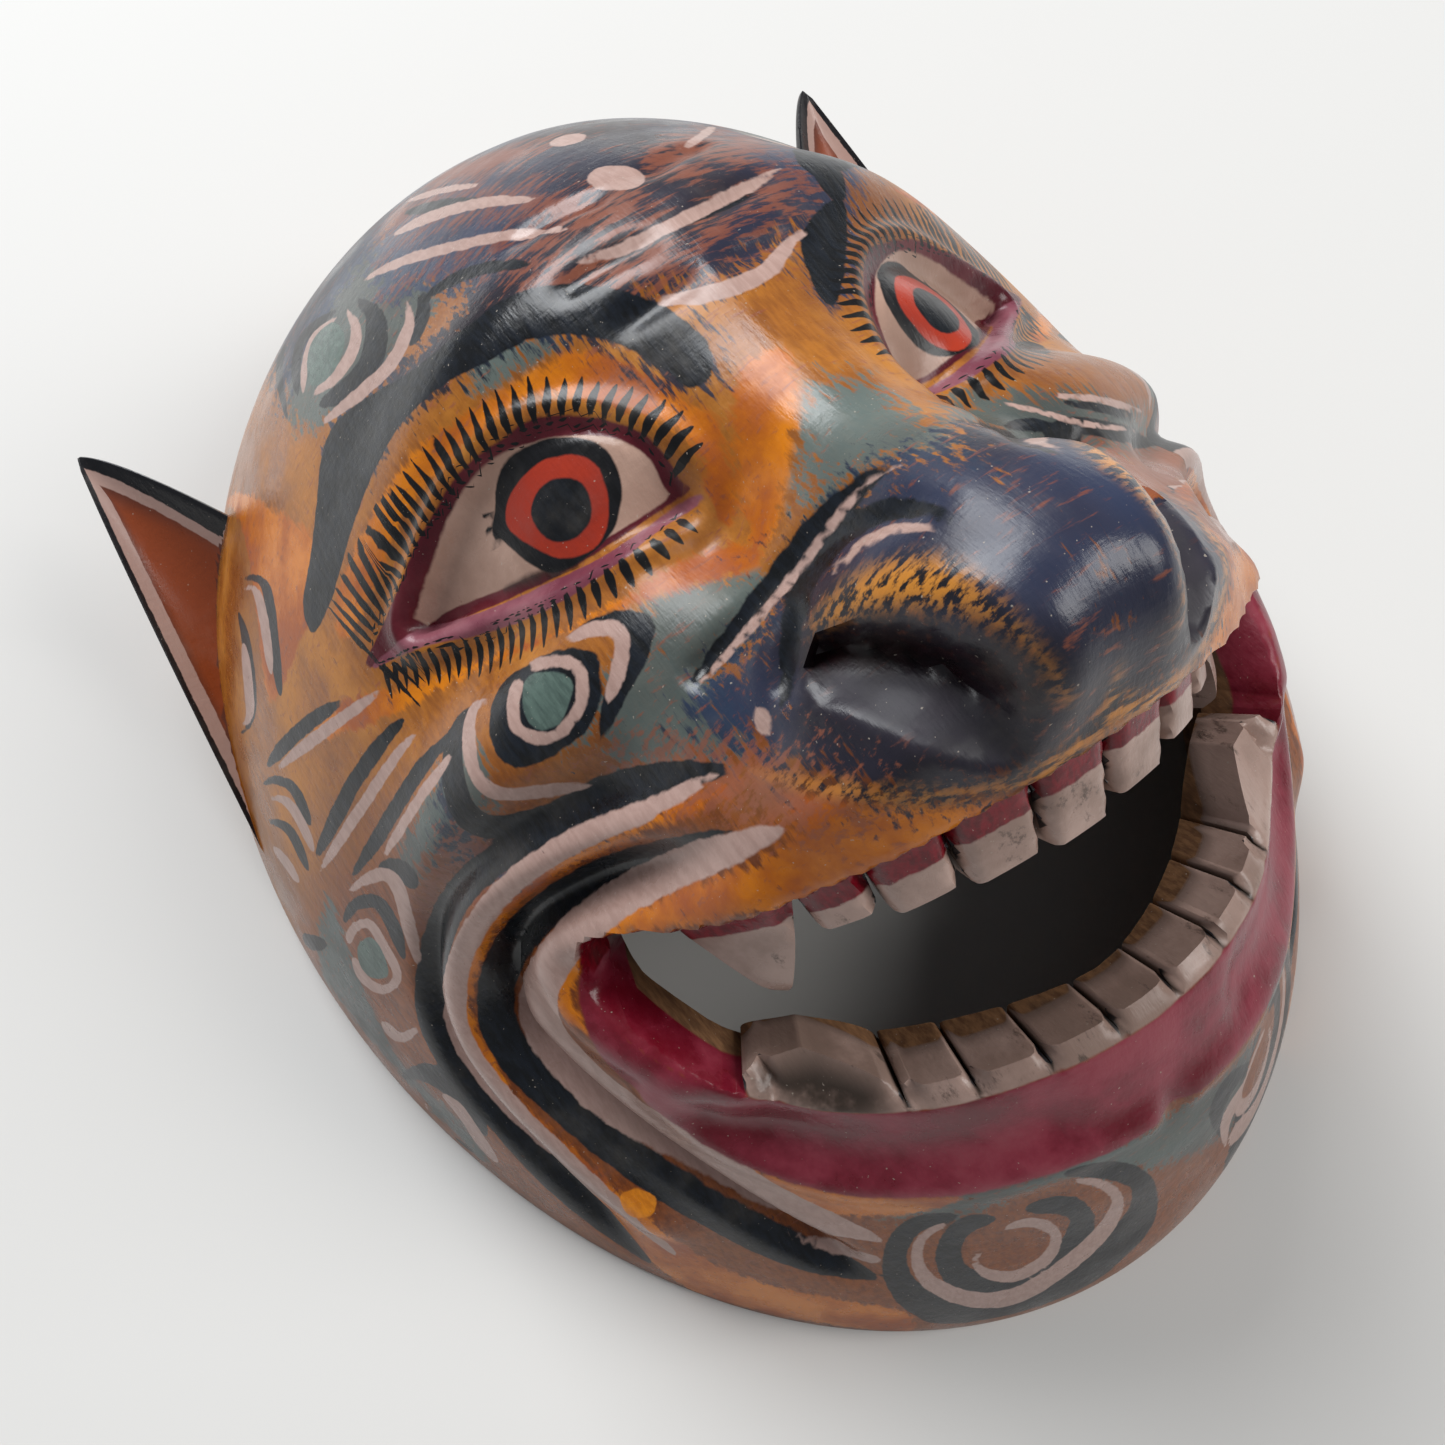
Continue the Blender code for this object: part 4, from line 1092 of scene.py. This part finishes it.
# The mask's finish: every layer of paint is laid over the one before it, under a thin varnish.
# Colours are as seen on a screen, 0 to 255. A pair is the two tones that a paint wanders between.
AMBER = ((134, 78, 30), (164, 100, 36))
AMBER_LIGHT = (196, 126, 32)
AMBER_DARK = (104, 56, 26)
JAW_BROWN = ((98, 44, 14), (136, 68, 18))
TEAL = ((88, 108, 106), (54, 70, 70))
ORANGE = ((212, 122, 8), (156, 70, 6))
BLUE_BLACK = ((20, 26, 38), (40, 54, 80))
RED_ORANGE = ((146, 84, 60), (120, 62, 42))
SCRATCHED_BLACK = ((24, 20, 18), (206, 134, 44))
BLACK = ((9, 11, 14), (20, 25, 33))
GREY_PINK = ((176, 146, 136), (164, 134, 124))
GREY_GREEN = ((86, 104, 96), (68, 84, 78))
CHIP_ORANGE = ((232, 142, 22), (206, 118, 14))
CRIMSON = ((100, 12, 28), (142, 46, 64))
NOSTRIL_GREY = ((50, 44, 52), (34, 32, 40))
# Dark crimson of the nostril's hollow, darkened with painted shade
NOSTRIL_CRIMSON_AND_SHADE = ((34, 10, 14), (20, 12, 14))
TOOTH_PAINT = ((182, 154, 142), (146, 120, 108))
# Dirt in the teeth's gaps and on the fang, and painted shade deep inside the mouth
TOOTH_DIRT_AND_SHADE = (58, 46, 38)
GUM_RED = ((124, 8, 28), (92, 6, 20))
LID_RED = ((72, 12, 24), (96, 24, 36))
SCLERA_PINK = ((178, 146, 130), (158, 126, 110))
# The brown of the painted shadow in the crease under the eyeball
EYE_PAINTED_SHADOW_BROWN = ((66, 40, 34), (52, 32, 30))
LOWER_LID_PINK = ((112, 54, 68), (140, 84, 94))
RING_BLACK = ((12, 12, 14), (20, 20, 23))
IRIS_RED = ((172, 54, 30), (150, 42, 26))
PUPIL_BLACK = ((10, 12, 16), (18, 22, 28))
LASH_BLACK = (11, 10, 11)
EAR_BROWN = ((96, 52, 40), (140, 66, 34))
EAR_BAND_PINK = (178, 148, 138)
EAR_EDGE_BLACK = (22, 22, 26)
BARE_WOOD = ((92, 62, 40), (134, 96, 64))
BARE_WOOD_DARK = (62, 42, 30)
DUST = (176, 164, 150)
VARNISH = {'Coat Weight': 0.06, 'Coat Roughness': 0.18, 'IOR': 1.46, 'Specular IOR Level': 0.38}

# Where the noises that break up the paint turn from one tone to the other
TONES = (0.35, 0.65)
FAINT_TONES = (0.30, 0.70)
SCRATCH_EDGE = (0.66, 0.72)
# The lashes' greatest thickness, as a share of their spacing, and how they taper
LASH_THICKNESS = {'upper': 0.78, 'lower': 0.72}
LASH_TAPER = 0.55

wood.node_tree.nodes.clear()
nodes, links = wood.node_tree.nodes, wood.node_tree.links


def shade(red, green, blue):
    """A colour as seen on a screen, 0 to 255, as the light that the shader needs."""
    return tuple((part / 255.0 / 12.92 if part < 11 else ((part / 255.0 + 0.055) / 1.055) ** 2.4)
                 for part in (red, green, blue)) + (1.0,)


def feed(socket, value):
    """Link the value to the socket, or set it there if it is a plain number or colour."""
    if isinstance(value, bpy.types.NodeSocket):
        links.new(value, socket)
    else:
        socket.default_value = value


def node(kind, **inputs):
    """A node of the material with its inputs set or linked; the names use _ for spaces."""
    made = nodes.new(kind)
    for name, value in inputs.items():
        feed(made.inputs[name.replace('_', ' ')], value)
    return made


def reckon(operation, *values):
    """A sum, product or other reckoning of values."""
    made = nodes.new('ShaderNodeMath')
    made.operation = operation
    for socket, value in zip(made.inputs, values):
        feed(socket, value)
    return made.outputs[0]


def kept_value(name):
    """One of the mask's painted values."""
    made = nodes.new('ShaderNodeAttribute')
    made.attribute_name = name
    return made.outputs['Fac']


def eased(value, low, high, start=0.0, end=1.0):
    """A smooth step from start to end as the value goes from low to high."""
    made = nodes.new('ShaderNodeMapRange')
    made.interpolation_type = 'SMOOTHSTEP'
    links.new(value, made.inputs['Value'])
    for name, number in (('From Min', low), ('From Max', high), ('To Min', start), ('To Max', end)):
        made.inputs[name].default_value = number
    return made.outputs[0]


def mixed(share, one, other):
    """One colour turning into another by the share."""
    made = nodes.new('ShaderNodeMix')
    made.data_type = 'RGBA'
    for socket, value in ((made.inputs['Factor'], share), (made.inputs[6], one), (made.inputs[7], other)):
        feed(socket, value)
    return made.outputs[2]


def wandering(share, colours):
    """A paint that goes from the first to the second of its two tones."""
    return mixed(share, shade(*colours[0]), shade(*colours[1]))


place = nodes.new('ShaderNodeTexCoord').outputs['Object']


def grain(scale, detail=3.0, roughness=0.55, stretch=(1.0, 1.0, 1.0), turn=(0.0, 0.0, 0.0)):
    """Noise on the piece's own metres, this many lumps to the metre, stretched along an axis."""
    scales = tuple(scale * way for way in stretch)
    laid = node('ShaderNodeMapping', Vector=place, Rotation=turn, Scale=scales)
    noise = node('ShaderNodeTexNoise', Vector=laid.outputs[0], Scale=1.0, Detail=detail, Roughness=roughness)
    return noise.outputs[0]


streaks = grain(1300.0, detail=4.0, roughness=0.6, stretch=(1.0, 0.16, 0.5), turn=(0.0, 0.0, 0.35))
cross_streaks = grain(1200.0, detail=4.0, roughness=0.6, stretch=(0.16, 1.0, 0.6), turn=(0.0, 0.0, 0.5))
mottle = grain(70.0, detail=5.0, roughness=0.6)
ragged = grain(420.0, detail=3.0)
blotch = grain(24.0, detail=3.0)
scratch_field = grain(260.0, detail=6.0, roughness=0.75, stretch=(1.0, 0.4, 0.7), turn=(0.0, 0.3, 0.9))
scratches = eased(scratch_field, *SCRATCH_EDGE)
centred = reckon('SUBTRACT', ragged, 0.5)


def laid_on(below, name, colours, soft=0.10, uneven=0.5, worn=0.5, brushed_by=None):
    """A layer of paint with a brushed edge, over what is below it."""
    inside = reckon('MULTIPLY_ADD', centred, uneven, kept_value(name))
    cover = eased(inside, -soft, soft)
    cover = reckon('MULTIPLY', cover, reckon('MULTIPLY_ADD', scratches, -worn, 1.0))
    return mixed(cover, below, wandering(eased(brushed_by or streaks, *TONES), colours))


def washed_on(below, name, colours, streak=streaks, breaks=5.0, deep=0.45, most=0.95, tones=None,
              soft=0.45, cloudy=1.6, worn=0.7):
    """A thin wash whose edge breaks up into brush streaks."""
    inside = reckon('MULTIPLY', kept_value(name), deep)
    inside = reckon('MULTIPLY_ADD', reckon('SUBTRACT', streak, 0.5), breaks, inside)
    inside = reckon('MULTIPLY_ADD', reckon('SUBTRACT', mottle, 0.5), cloudy, inside)
    cover = eased(inside, -soft, soft, end=most)
    cover = reckon('MULTIPLY', cover, reckon('MULTIPLY_ADD', scratches, -worn, 1.0))
    return mixed(cover, below, wandering(eased(tones or blotch, *TONES), colours))


# The bare amber of the wood under varnish, browner down the jaw
amber = wandering(eased(streaks, *FAINT_TONES), AMBER)
amber = mixed(eased(mottle, 0.40, 0.70, end=0.7), amber, shade(*AMBER_LIGHT))
amber = mixed(eased(blotch, 0.42, 0.66, end=0.6), amber, shade(*AMBER_DARK))
brown = wandering(eased(streaks, *FAINT_TONES), JAW_BROWN)
amber = mixed(eased(kept_value('jaw_ground'), 0.0, 16.0, end=0.85), amber, brown)

# The washes, with the wing of the nostril scratched through
coat = washed_on(amber, 'teal', TEAL, breaks=6.0, deep=0.7, most=0.9)
coat = washed_on(coat, 'orange', ORANGE, breaks=3.0, deep=1.3, most=0.9, tones=mottle)
coat = washed_on(coat, 'blue_black', BLUE_BLACK, breaks=5.5, deep=0.5, most=0.96)
coat = washed_on(coat, 'red_orange', RED_ORANGE, streak=cross_streaks, breaks=6.0, deep=0.35, most=0.7)
scratched = wandering(eased(cross_streaks, 0.42, 0.56), SCRATCHED_BLACK)
coat = mixed(eased(kept_value('scratched'), -0.4, 1.2, end=0.85), coat, scratched)

# The brush strokes, the lips and the nostrils
coat = laid_on(coat, 'black', BLACK, worn=0.4)
coat = laid_on(coat, 'pink', GREY_PINK, worn=0.6)
coat = laid_on(coat, 'grey_green', GREY_GREEN, worn=0.5)
coat = laid_on(coat, 'chip', CHIP_ORANGE, worn=0.0)
coat = laid_on(coat, 'crimson', CRIMSON, soft=0.2, worn=0.5, brushed_by=mottle)
coat = laid_on(coat, 'nostril_floor', NOSTRIL_GREY, soft=1.0, worn=0.6, brushed_by=mottle)
# The nostril's hollow: dark crimson with painted shade under the wing
coat = laid_on(coat, 'nostril', NOSTRIL_CRIMSON_AND_SHADE, soft=0.8, worn=0.0)

# The teeth, dirty in the gaps and on the battered fang, with painted shade that darkens them deeper in the
# wood towards the hollow, and the gum over them
tooth_paint = wandering(eased(mottle, *TONES), TOOTH_PAINT)
dirt_and_shade = reckon('MAXIMUM', eased(kept_value('gap'), -0.25, 0.15), eased(scratch_field, 0.56, 0.68, end=0.7))
fang_dirt = reckon('MULTIPLY', eased(kept_value('fang'), -1.0, 2.0), eased(mottle, 0.36, 0.56))
dirt_and_shade = reckon('MAXIMUM', dirt_and_shade, fang_dirt)
# Painted shade: the teeth darken the deeper they lie in the wood inside the mouth
dirt_and_shade = reckon('MAXIMUM', dirt_and_shade, eased(kept_value('wall'), 4.0, 8.0, end=0.7))
tooth_paint = mixed(dirt_and_shade, tooth_paint, shade(*TOOTH_DIRT_AND_SHADE))
coat = mixed(eased(kept_value('teeth'), -0.12, 0.12), coat, tooth_paint)
coat = laid_on(coat, 'gum', GUM_RED, worn=0.1)

# The eyes
coat = laid_on(coat, 'lid', LID_RED, worn=0.2, uneven=0.3, brushed_by=mottle)
coat = laid_on(coat, 'sclera', SCLERA_PINK, worn=0.3, uneven=0.2, brushed_by=mottle)
# A painted shadow in the crease under the eyeball
coat = laid_on(coat, 'eye_painted_shadow', EYE_PAINTED_SHADOW_BROWN, worn=0.0, soft=0.3)
coat = laid_on(coat, 'lower_lid', LOWER_LID_PINK, worn=0.3, uneven=0.3, brushed_by=mottle)
coat = laid_on(coat, 'ring', RING_BLACK, worn=0.1, uneven=0.2)
coat = laid_on(coat, 'iris', IRIS_RED, worn=0.3, uneven=0.2, brushed_by=mottle)
coat = laid_on(coat, 'pupil', PUPIL_BLACK, worn=0.0, uneven=0.2)

# The lashes: a tapered stroke half way between each two whole turns of the comb
for lid, thickness in LASH_THICKNESS.items():
    off_middle = reckon('ABSOLUTE', reckon('SUBTRACT', reckon('FRACT', kept_value(lid + '_lash_turn')), 0.5))
    share = reckon('MULTIPLY_ADD', centred, 0.5, kept_value(lid + '_lash_share'))
    left = reckon('POWER', reckon('MAXIMUM', reckon('SUBTRACT', 1.0, share), 0.0), LASH_TAPER)
    root = eased(share, -0.1, 0.3, start=0.45)
    body = reckon('MULTIPLY', reckon('MULTIPLY', left, thickness / 2.0), root)
    cover = eased(reckon('SUBTRACT', body, off_middle), -0.03, 0.05)
    cover = reckon('MULTIPLY', cover, eased(share, -0.12, -0.04))
    cover = reckon('MULTIPLY', cover, eased(share, 0.99, 1.0, start=1.0, end=0.0))
    coat = mixed(cover, coat, shade(*LASH_BLACK))

# The ears
ear_paint = wandering(eased(kept_value('ear_inside'), 4.0, 9.0), EAR_BROWN)
ear_paint = mixed(eased(kept_value('ear_inside'), -1.0, 0.5), amber, ear_paint)
for band_name, colour in (('ear_pink', EAR_BAND_PINK), ('ear_black', EAR_EDGE_BLACK)):
    inside = reckon('MULTIPLY_ADD', centred, 0.8, kept_value(band_name))
    ear_paint = mixed(eased(inside, -0.15, 0.15), ear_paint, shade(*colour))
coat = mixed(eased(kept_value('ear'), -0.1, 0.1), coat, ear_paint)

# Bare wood behind, gouged and darkened
bare = wandering(eased(streaks, *FAINT_TONES), BARE_WOOD)
bare = mixed(eased(mottle, 0.45, 0.70, end=0.6), bare, shade(*BARE_WOOD_DARK))
coat = mixed(eased(kept_value('bare'), -0.3, 0.3), coat, bare)

# Dust and handling: pale specks, and a dull bloom
specks = eased(grain(1900.0, detail=1.0), 0.74, 0.80, end=0.6)
bloom = eased(mottle, 0.50, 0.80, end=0.10)
coat = mixed(reckon('MAXIMUM', specks, bloom), coat, shade(*DUST))

# Brush marks and scratches stand a little in the varnish, which is dull where it is worn, on the
# bare wood and in the nostrils
height = reckon('MULTIPLY_ADD', cross_streaks, 0.2, reckon('MULTIPLY', streaks, 0.4))
height = reckon('MULTIPLY_ADD', mottle, 1.5, height)
height = reckon('MULTIPLY_ADD', scratches, -0.8, height)
bump = node('ShaderNodeBump', Height=height, Strength=0.35, Distance=0.0005)
worn_dull = reckon('MULTIPLY', reckon('MAXIMUM', scratches, specks), 0.25)
gloss = reckon('ADD', eased(mottle, 0.3, 0.7, start=0.20, end=0.42), worn_dull)
gloss = reckon('MAXIMUM', gloss, eased(kept_value('bare'), -0.3, 0.3, end=0.8))
gloss = reckon('MAXIMUM', gloss, eased(kept_value('nostril_floor'), -0.5, 1.0, end=0.62))
finish = node('ShaderNodeBsdfPrincipled', Base_Color=coat, Roughness=gloss, Normal=bump.outputs[0])
for name, value in VARNISH.items():
    finish.inputs[name].default_value = value
result = nodes.new('ShaderNodeOutputMaterial')
links.new(finish.outputs[0], result.inputs['Surface'])

# The ground. A plain pale floor stands in for the paving that the mask lies on; it is the stage
# and no part of the mask.
FLOOR_REACH = 1.5
FLOOR_COLOUR = (0.62, 0.61, 0.59, 1.0)
FLOOR_ROUGHNESS = 0.9
ground = bpy.data.meshes.new('ground')
mesh = bmesh.new()
bmesh.ops.create_grid(mesh, x_segments=1, y_segments=1, size=FLOOR_REACH)
mesh.to_mesh(ground)
mesh.free()
ground_object = bpy.data.objects.new('ground', ground)
bpy.context.scene.collection.objects.link(ground_object)
pale = bpy.data.materials.new('pale_floor')
pale.use_nodes = True
floor_finish = pale.node_tree.nodes['Principled BSDF']
floor_finish.inputs['Base Color'].default_value = FLOOR_COLOUR
floor_finish.inputs['Roughness'].default_value = FLOOR_ROUGHNESS
ground.materials.append(pale)
ground_object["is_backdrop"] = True


# The light. The photograph was taken under an overcast sky: a dim even sky all round, a soft
# window of brighter sky behind the crown, and a weaker one over the chin.
def softbox(name, place, target, size, power, colour):
    """A soft square light that faces its target."""
    lamp = bpy.data.lights.new(name, 'AREA')
    lamp.energy = power
    lamp.size = size
    lamp.color = colour
    holder = bpy.data.objects.new(name, lamp)
    holder.location = place
    holder.rotation_euler = (Vector(place) - Vector(target)).to_track_quat('Z', 'Y').to_euler()
    bpy.context.scene.collection.objects.link(holder)


FACE_MIDDLE = (0.0, 0.0, 0.06)
SKY_COLOUR = (0.80, 0.84, 0.90, 1.0)
SKY_STRENGTH = 0.30
softbox('sky_behind_crown', (-0.10, 0.95, 1.05), FACE_MIDDLE, 0.8, 23.0, (0.96, 0.98, 1.0))
softbox('sky_over_chin', (0.75, -0.55, 1.0), FACE_MIDDLE, 0.7, 10.0, (1.0, 0.99, 0.97))

sky = bpy.data.worlds.new('overcast_sky')
sky.use_nodes = True
sky.node_tree.nodes['Background'].inputs['Color'].default_value = SKY_COLOUR
sky.node_tree.nodes['Background'].inputs['Strength'].default_value = SKY_STRENGTH
bpy.context.scene.world = sky
bpy.context.scene.view_settings.view_transform = 'Standard'

sizes = {'cad': [list(corner) for corner in cad_box], 'visual': [list(corner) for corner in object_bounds()]}
